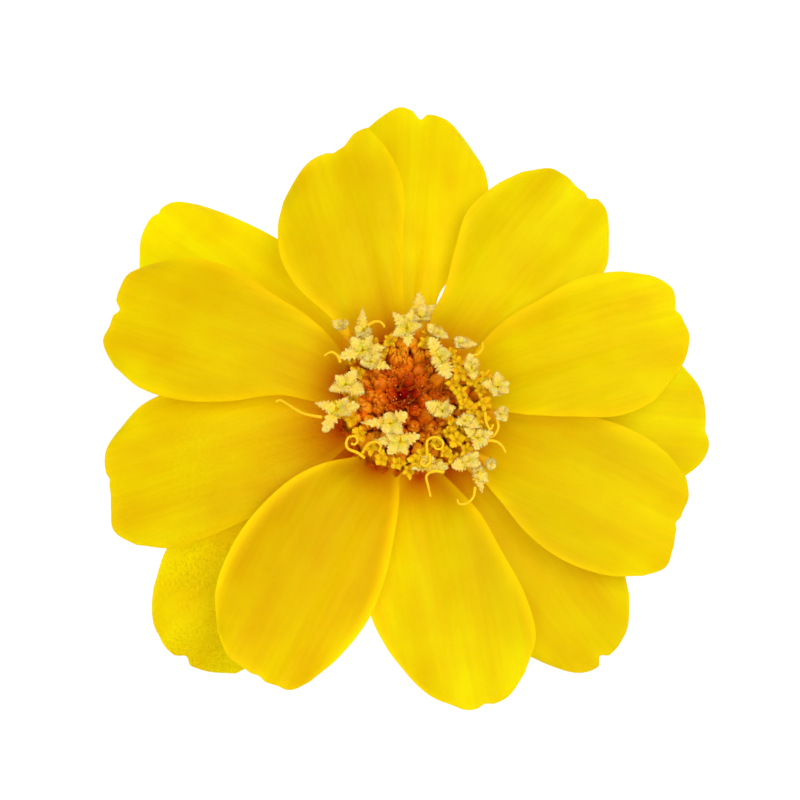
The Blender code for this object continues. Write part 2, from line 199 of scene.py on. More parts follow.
# angles in degrees, distance and size in millimetres
KEY_LIGHT = dict(azimuth=28, elevation=60, distance=900, size=600, watts=4.3, colour="#FFFFFF")
TOP_FILL = dict(azimuth=262, elevation=66, distance=900, size=900, watts=5.6, colour="#FFF6DC")
ROOM_COLOUR = "#FFE9BC"
ROOM_STRENGTH = 0.35


def add_area_light(name, azimuth, elevation, distance, size, watts, colour):
    """A square soft light that points at the flower."""
    data = bpy.data.lights.new(name, "AREA")
    data.size = size * MM
    data.energy = watts
    data.color = linear(colour)[:3]
    azimuth, elevation = math.radians(azimuth), math.radians(elevation)
    way = Vector((math.cos(azimuth) * math.cos(elevation), math.sin(azimuth) * math.cos(elevation),
                  math.sin(elevation)))
    light = add_object(name, data)
    light.location = way * distance * MM
    light.rotation_euler = (-way).to_track_quat("-Z", "Y").to_euler()


def white_paper():
    """Bright matte paper that glows a little, as a backlit sheet does."""
    material, tree = empty_material("white_paper")
    paper = add_node(tree, "ShaderNodeBsdfPrincipled", Base_Color=linear("#707070"), Roughness=0.9,
                     Specular_IOR_Level=0.0, Emission_Color=linear("#FFFFFF"), Emission_Strength=PAPER_GLOW)
    add_node(tree, "ShaderNodeOutputMaterial", Surface=paper)
    return material


corners = [(x * FLOOR_HALF, y * FLOOR_HALF, -FLOOR_SAG) for x, y in ((-1, -1), (1, -1), (1, 1), (-1, 1))]
floor = new_piece("floor", corners, [(0, 1, 2, 3)])
floor.data.materials.append(white_paper())
add_area_light("key light", **KEY_LIGHT)
add_area_light("top fill", **TOP_FILL)

world = bpy.data.worlds.new("studio")
world.use_nodes = True
world.node_tree.nodes["Background"].inputs["Color"].default_value = linear(ROOM_COLOUR)
world.node_tree.nodes["Background"].inputs["Strength"].default_value = ROOM_STRENGTH
bpy.context.scene.world = world
bpy.context.scene.view_settings.view_transform = "Standard"
bpy.context.scene.view_settings.look = "None"

# %% [markdown]
# ## Petals: their measured shape
#
# A zinnia petal is one ray floret: a thin blade with a claw at its root and two or three rounded teeth at
# its tip. Blades could be sculpted one by one, but each one here is a sheet over its measured outline. Two
# lists give its half widths from root to tip and a third gives the reach of the tip from side to side. A
# smooth curve runs through the values of each list.

# %% Petal sizes, in millimetres
BLADE_ROOT = 6.85
SIDE_STATIONS = (0.0, 0.1, 0.25, 0.45, 0.65, 0.85, 1.0)
RIM_STATIONS = (-1.0, -0.66, -0.33, 0.0, 0.33, 0.66, 1.0)
LAYER_DISTANCES = (6.85, 9.0, 13.0, 20.0, 27.0, 34.0)
LAYER_HEIGHTS = {
    "back": (8.35, 8.6, 9.0, 8.6, 6.8, 4.4),
    "middle": (9.4, 9.8, 10.8, 10.9, 9.5, 7.7),
    "front": (10.45, 11.0, 12.4, 12.9, 11.9, 10.4),
}

# Each petal: layer, azimuth in degrees, half widths to the right and left from the root to the corner of the
# tip, reach of the tip from right to left, place and depth of the notch, and the lift of its left edge.
PETALS = (
    dict(layer="front", azimuth=107.0,
         right=(2.1, 2.5, 3.3, 4.7, 6.1, 5.9, 4.7), left=(2.1, 3.4, 4.9, 6.9, 7.7, 7.1, 5.8),
         rim=(28.9, 28.3, 27.3, 27.3, 26.9, 25.7, 23.9), notch=(-0.1, 0.2), lift=-0.5),
    dict(layer="back", azimuth=87.5,
         right=(2.1, 2.3, 2.85, 6.1, 7.3, 6.9, 5.1), left=(2.1, 2.9, 4.5, 6.2, 7.1, 7.0, 5.9),
         rim=(29.3, 31.1, 32.0, 32.3, 32.8, 31.7, 30.0), notch=(0.0, 0.7), lift=0.2),
    dict(layer="middle", azimuth=53.0,
         right=(2.1, 2.5, 3.9, 6.1, 7.4, 7.1, 5.2), left=(2.1, 3.7, 4.25, 5.9, 7.3, 6.8, 5.6),
         rim=(27.3, 28.9, 29.3, 28.9, 29.1, 28.9, 26.9), notch=(-0.26, 0.45), lift=0.4),
    dict(layer="front", azimuth=17.5,
         right=(2.1, 3.3, 4.9, 6.3, 7.5, 7.2, 5.5), left=(2.1, 3.8, 5.2, 6.2, 7.0, 6.7, 5.5),
         rim=(26.2, 28.1, 29.0, 29.0, 28.9, 28.9, 27.4), notch=(0.24, 0.25), lift=0.0),
    dict(layer="back", azimuth=-2.0,
         right=(2.1, 2.8, 4.2, 5.8, 6.8, 6.7, 5.4), left=(2.1, 3.1, 4.9, 6.6, 7.4, 7.6, 6.7),
         rim=(27.8, 29.8, 30.5, 30.2, 30.0, 29.3, 27.6), notch=(-0.03, 0.12), lift=-0.2),
    dict(layer="middle", azimuth=-24.5,
         right=(2.1, 3.1, 4.8, 6.9, 7.7, 7.1, 5.5), left=(2.1, 3.6, 4.8, 6.5, 7.2, 6.9, 5.5),
         rim=(28.4, 30.0, 29.9, 29.5, 29.3, 29.2, 28.3), notch=(0.15, 0.3), lift=0.0),
    dict(layer="back", azimuth=-51.0,
         right=(2.1, 3.0, 4.9, 6.5, 7.2, 6.8, 5.2), left=(2.1, 2.8, 4.2, 5.9, 7.2, 7.2, 5.9),
         rim=(28.0, 30.6, 31.6, 31.5, 31.3, 30.3, 28.2), notch=(-0.05, 0.6), lift=0.2),
    dict(layer="middle", azimuth=-79.0,
         right=(2.1, 3.5, 5.2, 6.9, 7.6, 6.6, 5.1), left=(2.1, 3.4, 5.1, 6.5, 7.8, 8.1, 6.4),
         rim=(26.5, 28.6, 29.9, 30.8, 30.7, 30.3, 28.4), notch=(0.3, 0.25), lift=0.0),
    dict(layer="front", azimuth=-117.0,
         right=(2.4, 4.8, 6.8, 8.3, 8.8, 8.3, 6.5), left=(2.6, 3.7, 4.9, 6.1, 6.5, 5.6, 4.1),
         rim=(28.7, 30.5, 30.9, 31.1, 31.0, 30.7, 29.1), notch=(-0.1, 0.2), lift=-0.3),
    dict(layer="back", azimuth=-136.0,
         right=(2.2, 3.4, 4.9, 6.4, 7.1, 6.9, 5.2), left=(2.1, 3.3, 5.2, 7.0, 8.0, 8.0, 6.8),
         rim=(30.4, 32.2, 33.1, 33.5, 33.2, 32.3, 30.5), notch=(0.3, 0.6), lift=-0.2),
    dict(layer="middle", azimuth=-165.0,
         right=(2.4, 3.9, 5.5, 7.1, 7.8, 7.4, 5.4), left=(2.1, 3.4, 5.2, 6.7, 7.4, 7.5, 6.1),
         rim=(28.9, 30.3, 30.7, 30.7, 31.1, 31.4, 29.7), notch=(-0.2, 0.2), lift=0.0),
    dict(layer="front", azimuth=161.0,
         right=(2.1, 3.9, 5.2, 6.3, 7.4, 7.3, 5.9), left=(2.1, 2.6, 3.4, 5.6, 7.0, 7.0, 5.6),
         rim=(28.9, 30.8, 31.2, 31.0, 30.8, 30.9, 29.2), notch=(0.0, 0.5), lift=0.0),
    dict(layer="back", azimuth=140.0,
         right=(2.1, 3.0, 4.6, 5.6, 5.4, 4.6, 3.7), left=(2.1, 3.1, 5.0, 6.5, 7.1, 6.8, 5.5),
         rim=(31.0, 32.7, 33.5, 33.7, 33.4, 32.5, 31.1), notch=(-0.1, 0.2), lift=0.2),
)

# The look of each petal: length of the orange flush at its root in mm, partly painted shade, brightness,
# share of green, how far its edge is turned up and how strong its painted rim highlight is, and how grainy it
# is
PETAL_LOOKS = (
    (1.5, 0.93, 1.03, 0.5, 0.2), (1.7, 0.965, 1.07, 0.3, 0.1), (1.4, 0.93, 1.07, 0.4, 0.1),
    (0.6, 0.965, 1.06, 0.4, 0.1), (1.1, 0.91, 1.08, 0.3, 0.1), (1.4, 0.935, 1.035, 0.4, 0.1),
    (2.0, 0.885, 1.005, 0.3, 0.2), (1.6, 0.935, 1.055, 0.6, 0.1), (1.0, 0.93, 0.96, 0.85, 0.1),
    (2.6, 0.975, 1.055, 0.2, 1.5), (2.6, 0.93, 1.015, 0.3, 0.5), (1.6, 0.93, 1.015, 0.4, 0.2),
    (1.8, 1.02, 1.1, 0.2, 0.1),
)


def smooth_between(stations, values, places):
    """A smooth curve through the values, read at an array of places."""
    stations = np.asarray(stations, float)
    values = np.asarray(values, float)
    places = np.clip(places, stations[0], stations[-1])
    slopes = np.empty_like(values)
    slopes[1:-1] = (values[2:] - values[:-2]) / (stations[2:] - stations[:-2])
    slopes[0] = (values[1] - values[0]) / (stations[1] - stations[0])
    slopes[-1] = (values[-1] - values[-2]) / (stations[-1] - stations[-2])
    i = np.clip(np.searchsorted(stations, places, side="right") - 1, 0, len(stations) - 2)
    span = stations[i + 1] - stations[i]
    t = (places - stations[i]) / span
    return ((2 * t**3 - 3 * t**2 + 1) * values[i] + (3 * t**2 - 2 * t**3) * values[i + 1]
            + (t**3 - 2 * t**2 + t) * span * slopes[i] + (t**3 - t**2) * span * slopes[i + 1])


print("petals:", len(PETALS), "in layers", sorted({petal["layer"] for petal in PETALS}))

# %% [markdown]
# ## Petals: relief
#
# Seen from above the petals are almost flat, so all their life is in shallow relief: a trough at the root
# that turns into an arch, two or three lengthwise folds, a dozen fine veins that fan out with the blade, and
# an edge that thins and turns up. Each is one term of the height below. The first terms are those of the
# CAD solid. The fine ones are added here, where the sheet has enough points to carry them.

# %% Petal relief
ROW_CROWDING = 0.9
TROUGH_RISE = 0.45
TROUGH_LENGTH = 0.4
ARCH_DROP = 0.65
FOLD_DEPTH = 0.14
FOLD_LENGTH = 0.9
FOLDS_ACROSS = 2.5
TIP_CURL = 0.35
TIP_CURL_POWER = 6
NOTCH_HALF_WIDTH = 0.15
VEINS = 13
VEIN_HEIGHT = 0.009
CREASES = 6
CREASE_DEPTH = 0.16
CREASE_WIDTH = 0.45
CREASE_START = 0.06
FOLD_WARP = 0.14
CLAW_INSET = 0.03
EDGE_TURN_UP = 0.16
EDGE_TURN_AND_HIGHLIGHT_LENGTH = 0.7
WAVES = 4
WAVE_HEIGHT = 0.16
WAVE_LENGTH = 9.0
RAGGED_RIM = 0.04
CORNER_ROUNDING = 0.18
MIDDLE_THICKNESS = 0.42
EDGE_THICKNESS = 0.16
THIN_EDGE_WIDTH = 2.5
COLUMNS = 84
ROWS = 76


def gentle_waves(x, y, draw):
    """A sum of slow waves in drawn directions, between -1 and 1."""
    total = np.zeros_like(x)
    for _ in range(WAVES):
        way = draw.uniform(0, 2 * math.pi)
        length = WAVE_LENGTH * draw.uniform(0.7, 1.5)
        shift = draw.uniform(0, 2 * math.pi)
        total += np.sin(2 * math.pi * (x * math.cos(way) + y * math.sin(way)) / length + shift) / WAVES
    return total


def petal_sheet(petal, edge_lift_and_highlight, draw):
    """Grids of the blade: outwards, left, height, thickness and distance to the nearest edge, in mm.

    The blade is a grid over across, from -1 on the right to 1 on the left, and along, from root to tip.
    """
    place, depth = petal["notch"]
    right_columns = round(COLUMNS * (place + 1) / 2)
    columns = np.concatenate([np.linspace(-1, place, right_columns, endpoint=False),
                              np.linspace(place, 1, COLUMNS - right_columns + 1)])
    rows = np.linspace(0, 1, ROWS + 1) ** ROW_CROWDING * (1 + CLAW_INSET) - CLAW_INSET
    across, along = np.meshgrid(columns, rows)

    # the outline: reach of the tip with its ragged rim and notch, and the half width on each side
    reach = smooth_between(RIM_STATIONS, petal["rim"], across)
    ragged = sum(np.sin(across * draw.uniform(5, 17) + draw.uniform(0, 6)) for _ in range(4)) / 4
    notch = depth * (1 - np.cos(math.pi * np.clip(1 - np.abs(across - place) / NOTCH_HALF_WIDTH, 0, 1))) / 2
    reach = reach - notch + RAGGED_RIM * ragged - CORNER_ROUNDING * np.abs(across) ** 10
    out = BLADE_ROOT + along * (reach - BLADE_ROOT)
    half = np.where(across > 0, smooth_between(SIDE_STATIONS, petal["left"], along),
                    smooth_between(SIDE_STATIONS, petal["right"], along))
    left = across * half
    edge = np.minimum((1 - np.abs(across)) * half, (1 - along) * reach)

    # the relief: first trough and arch, then folds, curl, waves and creases, and last the edge and the veins
    height = smooth_between(LAYER_DISTANCES, LAYER_HEIGHTS[petal["layer"]], out)
    grown = np.maximum(along, 0)
    height += TROUGH_RISE * np.sin(math.pi * np.minimum(grown / TROUGH_LENGTH, 1)) * across**2
    height -= ARCH_DROP * grown * across**2
    fold_depth = FOLD_DEPTH * np.sin(math.pi * np.minimum(grown / FOLD_LENGTH, 1))
    warped = across + FOLD_WARP * np.sin(3 * across + draw.uniform(0, 6)) * (1 - across**2)
    height -= fold_depth * np.cos(math.pi * FOLDS_ACROSS * warped)
    height -= TIP_CURL * grown**TIP_CURL_POWER * np.cos(2 * math.pi * (across - place))
    height += petal["lift"] * grown * across
    height += WAVE_HEIGHT * np.sin(math.pi * grown * 0.5) * gentle_waves(out, left, draw)
    for k in range(CREASES):
        line = -0.75 + 1.5 * (k + draw.uniform(0.1, 0.9)) / CREASES
        crease_end = draw.uniform(0.3, 0.75)
        fade = np.clip(grown / CREASE_START, 0, 1) * np.clip(1 - grown / crease_end, 0, 1) ** 1.5
        spread = CREASE_WIDTH * draw.uniform(0.6, 1.4) * (1 + 1.5 * grown)
        crease_depth = CREASE_DEPTH * draw.uniform(0.3, 1.0)
        height -= crease_depth * fade * np.exp(-((across - line) * half / spread) ** 2)
    height += EDGE_TURN_UP * (1 + edge_lift_and_highlight) * np.exp(-edge / EDGE_TURN_AND_HIGHLIGHT_LENGTH) * np.sqrt(grown)
    vein_fade = np.sin(math.pi * np.clip(grown * 0.9 + 0.08, 0, 1)) * np.clip(edge, 0, 1)
    height += VEIN_HEIGHT * vein_fade * np.cos(math.pi * VEINS * across + 0.6 * np.sin(3 * along + place))
    thickening = np.clip(edge / THIN_EDGE_WIDTH, 0, 1) ** 0.7
    return out, left, height, EDGE_THICKNESS + (MIDDLE_THICKNESS - EDGE_THICKNESS) * thickening, edge


print("points in a sheet:", (COLUMNS + 1) * (ROWS + 1))

# %% [markdown]
# A closed slab is made from each sheet: the sheet raised by half its thickness, the sheet lowered by as much,
# and a rim between them. Three values are stored at its points, for the finish to read. blade_mm is how far
# left, how far out and how near the edge a point is. look is how orange, partly as painted shade near the
# root, how strong the painted highlight at the rim is, and how grainy it is, and dye is the strength of the
# colour in red, green and blue, which grows towards the tip.

# %% Petal slabs
TIP_BRIGHTER = 0.035
TIP_GREENER = 0.1
TIP_GREENER_POWER = 1.5
# where the painted rim highlight fades towards the tip, and how much of it is left there
RIM_HIGHLIGHT_FADE_START = 0.7
RIM_HIGHLIGHT_FADE_LENGTH = 0.4
LEAST_RIM_HIGHLIGHT = 0.2
FLUSH_AND_SHADE_SIDEWAYS = 0.8
SHARP_RIM_ANGLE = 50


def slab_faces(columns, rows):
    """Quads of a closed slab of columns by rows cells: top, underside and the rim between them."""
    row = columns + 1
    under = row * (rows + 1)
    i, j = np.meshgrid(np.arange(columns), np.arange(rows))
    a = (j * row + i).ravel()
    top = np.stack([a, a + row, a + row + 1, a + 1], 1)
    bottom = np.stack([a, a + 1, a + row + 1, a + row], 1) + under
    edge = list(range(row)) + [k * row + columns for k in range(1, rows + 1)]
    edge += [rows * row + k for k in range(columns - 1, -1, -1)]
    edge += [k * row for k in range(rows - 1, 0, -1)]
    rim = [(b, a, a + under, b + under) for a, b in zip(edge, edge[1:] + edge[:1])]
    return top.tolist() + bottom.tolist() + rim


def make_petal(number, petal):
    """One blade at its place round the flower."""
    draw = random.Random(100 + number)
    flush_and_shade_length, brightness, green, edge_lift_and_highlight, graininess = PETAL_LOOKS[number - 1]
    out, left, height, thickness, edge = petal_sheet(petal, edge_lift_and_highlight, draw)
    turn = math.radians(petal["azimuth"])
    x = out * math.cos(turn) - left * math.sin(turn)
    y = out * math.sin(turn) + left * math.cos(turn)
    top = np.stack([x, y, height + thickness / 2], -1).reshape(-1, 3)
    bottom = np.stack([x, y, height - thickness / 2], -1).reshape(-1, 3)
    piece = new_piece(f"petal_{number:02d}", np.vstack([top, bottom]), slab_faces(COLUMNS, ROWS),
                      SHARP_RIM_ANGLE)
    grown = (out - BLADE_ROOT) / (out.max() - BLADE_ROOT)
    # orange near the root: partly the petal's own flush, partly painted shade where the disc darkens it
    flush_and_shade = np.exp(-np.hypot(out - BLADE_ROOT, FLUSH_AND_SHADE_SIDEWAYS * left) / flush_and_shade_length)
    # painted highlight: a lemon, brighter band along the turned-up edge, fading towards the tip
    rim_highlight_fade = np.clip((RIM_HIGHLIGHT_FADE_START + RIM_HIGHLIGHT_FADE_LENGTH - grown) / RIM_HIGHLIGHT_FADE_LENGTH, LEAST_RIM_HIGHLIGHT, 1)
    rim = edge_lift_and_highlight * np.exp(-(edge / EDGE_TURN_AND_HIGHLIGHT_LENGTH) ** 2) * rim_highlight_fade
    ripe = np.clip(grown, 0, 1)
    greener = green * (1 + TIP_GREENER * ripe**TIP_GREENER_POWER)
    for name, grids in (("blade_mm", (left, out, edge)),
                        ("look", (flush_and_shade, rim, np.full_like(flush_and_shade, graininess))),
                        ("dye", (brightness * (1 + TIP_BRIGHTER * ripe), brightness * greener,
                                 np.full_like(ripe, brightness)))):
        vectors = np.stack(grids, -1).reshape(-1, 3)
        point_attribute(piece, name, np.vstack([vectors, vectors]))
    return piece


petals = [make_petal(number, petal) for number, petal in enumerate(PETALS, start=1)]
print("petal triangles:", triangles(petals[0]), "each,", sum(map(triangles, petals)), "in all")

# %% [markdown]
# ## Petal finish
#
# A preserved petal is plant tissue whose sap was replaced by glycerine and yellow dye. It stays soft and
# satin, lets some light through, and looks deeper and more orange where light has passed it twice, as near
# the disc. A flat colour would make it look like plastic. So the colour runs from lemon to orange as the
# look attribute says, and that orange near the root is partly the petal's own flush and partly painted shade.
# A painted highlight makes the turned-up edge lemon and brighter. Noise stretched lengthwise lays fine veins
# and broad bands over it. Most of the mottling shifts only the green of the colour: a yellow then turns
# warmer or cooler without turning grey. The material mixes the satin surface with a share of light that
# comes through the blade.

# %% Petal material
PETAL_IOR = 1.42
PETAL_ROUGHNESS = 0.52
PETAL_SPECULAR = 0.08
LIGHT_THROUGH = 0.5
# painted highlight on the turned-up edge: its lemon colour and how much brighter it makes the rim
PAINTED_RIM_HIGHLIGHT = "#FFEE08"
PAINTED_RIM_GLOW = 0.12
# widths, lengths and depths of the patterns on the blade, in millimetres
VEIN_SIZE = (0.45, 8.0)
VEIN_RELIEF = 0.06
BAND_SIZE = (2.8, 18.0)
CLOUD_SIZE = 5
PIMPLE_SIZE = 0.35
PIMPLE_RELIEF = 0.25
PIMPLE_PATCH = 7
# real cells are a quarter of this size, which the picture can't show
CELL_GRAIN = 0.12
CELL_RELIEF = 0.01
# lemon away from the root to orange at it; the orange end is partly painted shade
PETAL_STOPS = ((0.0, "#F6DE00"), (0.08, "#F4D400"), (0.25, "#F2C200"), (0.5, "#EEA600"), (0.8, "#E67A00"),
               (1.0, "#D65400"))


def mottled(tree, *patterns):
    """The product of some patterns, each spread between a low and a high factor."""
    product = 1.0
    for pattern, low, high in patterns:
        factor = add_node(tree, "ShaderNodeMapRange", pattern, 0.3, 0.7, low, high)
        product = add_node(tree, "ShaderNodeMath.MULTIPLY", product, factor)
    return product


def lengthwise_noise(tree, left, out, size_mm, detail):
    """Noise stretched along the blade, with spots of that width and length."""
    width, length = size_mm
    place = add_node(tree, "ShaderNodeCombineXYZ", left, out)
    stretched = add_node(tree, "ShaderNodeVectorMath.MULTIPLY", place, (1 / width, 1 / length, 0.0))
    return add_node(tree, "ShaderNodeTexNoise", Vector=stretched, Scale=1.0, Detail=detail)


def petal_tint(tree, veins, bands, clouds, rim):
    """Lemon to orange by the look attribute, partly painted shade, times the dye, mottled, and a painted
    lemon highlight at the rim.
    """
    look = add_node(tree, "ShaderNodeAttribute", settings={"attribute_name": "look"}).outputs["Vector"]
    dye = add_node(tree, "ShaderNodeAttribute", settings={"attribute_name": "dye"}).outputs["Vector"]
    # the orange near the root: partly the petal's own flush, partly painted shade
    flush_and_shade = add_node(tree, "ShaderNodeSeparateXYZ", look).outputs[0]
    ramp = add_node(tree, "ShaderNodeValToRGB", flush_and_shade, stops=PETAL_STOPS)
    toned = add_node(tree, "ShaderNodeVectorMath.MULTIPLY", ramp, dye)
    lemon_share = mottled(tree, (bands, 0.94, 1.05), (clouds, 0.96, 1.05))
    shift = add_node(tree, "ShaderNodeCombineXYZ", X=1.0, Y=lemon_share, Z=1.0)
    shifted = add_node(tree, "ShaderNodeVectorMath.MULTIPLY", toned, shift)
    # painted highlight: the rim is mixed towards lemon and made brighter
    painted_lemon_rim = add_node(tree, "ShaderNodeMix", settings={"data_type": "RGBA"}, i0=rim, i6=shifted,
                     i7=linear(PAINTED_RIM_HIGHLIGHT)).outputs[2]
    glow = add_node(tree, "ShaderNodeMath.MULTIPLY_ADD", rim, PAINTED_RIM_GLOW, 1.0)
    shade = mottled(tree, (veins, 0.975, 1.02), (bands, 0.98, 1.01), (clouds, 0.985, 1.01))
    shade = add_node(tree, "ShaderNodeMath.MULTIPLY", shade, glow)
    return add_node(tree, "ShaderNodeVectorMath.SCALE", painted_lemon_rim, Scale=shade)


def dyed_petal():
    """Glycerine-preserved petal tissue: satin and translucent, so it glows instead of shining."""
    material, tree = empty_material("dyed_petal")
    blade = add_node(tree, "ShaderNodeAttribute", settings={"attribute_name": "blade_mm"}).outputs["Vector"]
    left, out, _ = add_node(tree, "ShaderNodeSeparateXYZ", blade).outputs
    look = add_node(tree, "ShaderNodeAttribute", settings={"attribute_name": "look"}).outputs["Vector"]
    # rim is the strength of the painted highlight on the turned-up edge
    _, rim, graininess = add_node(tree, "ShaderNodeSeparateXYZ", look).outputs
    place = add_node(tree, "ShaderNodeTexCoord").outputs["Object"]
    veins = lengthwise_noise(tree, left, out, VEIN_SIZE, 2.0)
    bands = lengthwise_noise(tree, left, out, BAND_SIZE, 1.0)
    clouds = add_node(tree, "ShaderNodeTexNoise", Vector=place, Scale=1 / (CLOUD_SIZE * MM), Detail=2.0)
    tint = petal_tint(tree, veins, bands, clouds, rim)

    grain = add_node(tree, "ShaderNodeTexNoise", Vector=place, Scale=1 / (CELL_GRAIN * MM), Detail=1.0)
    pimples = add_node(tree, "ShaderNodeTexNoise", Vector=place, Scale=1 / (PIMPLE_SIZE * MM), Detail=1.0)
    patches = add_node(tree, "ShaderNodeTexNoise", Vector=place, Scale=1 / (PIMPLE_PATCH * MM), Detail=0.0)
    patch = add_node(tree, "ShaderNodeMapRange", patches, From_Min=0.3, From_Max=0.5)
    pimply = add_node(tree, "ShaderNodeMath.MULTIPLY", graininess, patch)
    vein_bump = add_node(tree, "ShaderNodeBump", Height=veins, Distance=VEIN_RELIEF * MM, Strength=0.6)
    pimple_bump = add_node(tree, "ShaderNodeBump", Height=pimples, Distance=PIMPLE_RELIEF * MM,
                           Strength=pimply, Normal=vein_bump)
    grain_bump = add_node(tree, "ShaderNodeBump", Height=grain, Distance=CELL_RELIEF * MM, Strength=0.5,
                          Normal=pimple_bump)
    satin = add_node(tree, "ShaderNodeBsdfPrincipled", Base_Color=tint, Roughness=PETAL_ROUGHNESS,
                     IOR=PETAL_IOR, Specular_IOR_Level=PETAL_SPECULAR, Normal=grain_bump)
    through = add_node(tree, "ShaderNodeBsdfTranslucent", Color=tint, Normal=vein_bump)
    mix = add_node(tree, "ShaderNodeMixShader", LIGHT_THROUGH, satin, through)
    add_node(tree, "ShaderNodeOutputMaterial", Surface=mix)
    return material


petal_finish = dyed_petal()
for number, piece in enumerate(petals, start=1):
    piece.data.materials.append(petal_finish)
    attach(piece, "root")
    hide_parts(f"ray_floret_{number:02d}")
print("petal finish:", petal_finish.name, "on", len(petals), "pieces")

# %% [markdown]
# ## Repeats by Geometry Nodes
#
# Buds, chaff, hairs and the like repeat hundreds of times. Placing copies in a loop would work, but a
# Geometry Nodes tree states the rule itself: where the points are, what stands on each, and how its size and
# turn vary. Each tree has named inputs and a fixed seed. It ends in Realize Instances and Set Material, and
# the result is kept as a plain mesh.

# %% Helpers for Geometry Nodes
def new_tree(name, **inputs):
    """A tree with a geometry going in and named number inputs. Returns the tree and its input sockets."""
    tree = bpy.data.node_groups.new(name, "GeometryNodeTree")
    tree.interface.new_socket("Geometry", in_out="INPUT", socket_type="NodeSocketGeometry")
    for title, value in inputs.items():
        kind = "NodeSocketInt" if isinstance(value, int) else "NodeSocketFloat"
        socket = tree.interface.new_socket(title, in_out="INPUT", socket_type=kind)
        socket.default_value = value
    tree.interface.new_socket("Geometry", in_out="OUTPUT", socket_type="NodeSocketGeometry")
    return tree, tree.nodes.new("NodeGroupInput").outputs


def run_tree(piece, tree, instances, material, **values):
    """Ends the tree with its instances made real, runs it on the piece and keeps the mesh."""
    real = add_node(tree, "GeometryNodeRealizeInstances", instances)
    smooth = add_node(tree, "GeometryNodeSetShadeSmooth", real)
    painted = add_node(tree, "GeometryNodeSetMaterial", smooth, Material=material)
    end = tree.nodes.new("NodeGroupOutput")
    tree.links.new(painted.outputs[0], end.inputs[0])
    modifier = piece.modifiers.new(tree.name, "NODES")
    modifier.node_group = tree
    for item in tree.interface.items_tree:
        if item.in_out == "INPUT" and item.name in values:
            modifier[item.identifier] = values[item.name]
    return as_plain_mesh(piece)


def random_between(tree, low, high, seed, shift):
    """A random number for each point. The shift keeps one use of the seed apart from the others."""
    shifted = add_node(tree, "ShaderNodeMath.ADD", seed, shift)
    return add_node(tree, "FunctionNodeRandomValue", settings={"data_type": "FLOAT"}, i2=low, i3=high,
                    Seed=shifted).outputs[1]


def tipped_rotation(tree, upwards, seed, most):
    """A rotation that stands along the vector upwards, with a random spin and tip of at most that angle."""
    stand = add_node(tree, "FunctionNodeAlignRotationToVector", settings={"axis": "Z"}, Vector=upwards)
    spin = add_node(tree, "ShaderNodeCombineXYZ", random_between(tree, -most, most, seed, 11),
                    random_between(tree, -most, most, seed, 12),
                    random_between(tree, 0.0, 2 * math.pi, seed, 13))
    turn = add_node(tree, "FunctionNodeEulerToRotation", spin)
    return add_node(tree, "FunctionNodeRotateRotation", settings={"rotation_space": "LOCAL"}, Rotation=stand,
                    Rotate_By=turn)


print("node groups so far:", len(bpy.data.node_groups))

# %% [markdown]
# ## Disc: the finishes
#
# The florets of the disc start as orange buds, and their chaff is dark red and glossy. Where a piece changes
# colour with its place, the material reads Object coordinates: the buds go from dark red in the pit to orange
# at the rim. These are soft plant tissues too, so they share the petals' index of refraction. Buds and
# florets are plump and watery, and light that enters them comes out a little further on. Subsurface light
# does that, and it softens their shadows.

# %% Disc materials
TISSUE_SPECULAR = 0.15
COAT_ROUGHNESS = 0.12
SOFT_SHARE = 0.7
SOFT_REACH = (1.0, 0.5, 0.2)
PIT_SEEN = (-0.2, 0.6)
BUD_PATCH = 1.4


def surface(name, colour, roughness, grain_mm=0.2, grain_depth_mm=0.02, coat=0.0, through=0.0, depth_mm=0.0):
    """A plant surface with a fine grain. The colour is a hex value or a function that makes a socket.

    coat is a share of gloss on top, through a share of light that comes through, and depth_mm how far light
    spreads inside.
    """
    material, tree = empty_material(name)
    place = add_node(tree, "ShaderNodeTexCoord").outputs["Object"]
    grain = add_node(tree, "ShaderNodeTexNoise", Vector=place, Scale=1 / (grain_mm * MM), Detail=2.0)
    bump = add_node(tree, "ShaderNodeBump", Height=grain, Distance=grain_depth_mm * MM, Strength=0.7)
    colour = colour(tree, place, grain) if callable(colour) else linear(colour)
    result = add_node(tree, "ShaderNodeBsdfPrincipled", Base_Color=colour, Roughness=roughness, IOR=PETAL_IOR,
                      Normal=bump, Specular_IOR_Level=TISSUE_SPECULAR, Coat_Weight=coat,
                      Coat_Roughness=COAT_ROUGHNESS, Subsurface_Weight=SOFT_SHARE if depth_mm > 0 else 0.0,
                      Subsurface_Radius=SOFT_REACH, Subsurface_Scale=depth_mm * MM)
    if through > 0:
        glow = add_node(tree, "ShaderNodeBsdfTranslucent", Color=colour)
        result = add_node(tree, "ShaderNodeMixShader", through, result, glow)
    add_node(tree, "ShaderNodeOutputMaterial", Surface=result)
    return material


def distance_from_axis(tree, place, centre=(0.0, 0.0)):
    """Distance from the flower's axis, or from a centre beside it, in millimetres."""
    level = add_node(tree, "ShaderNodeVectorMath.MULTIPLY", place, (1 / MM, 1 / MM, 0.0))
    away = add_node(tree, "ShaderNodeVectorMath.SUBTRACT", level, (*centre, 0.0))
    return add_node(tree, "ShaderNodeVectorMath.LENGTH", away).outputs["Value"]


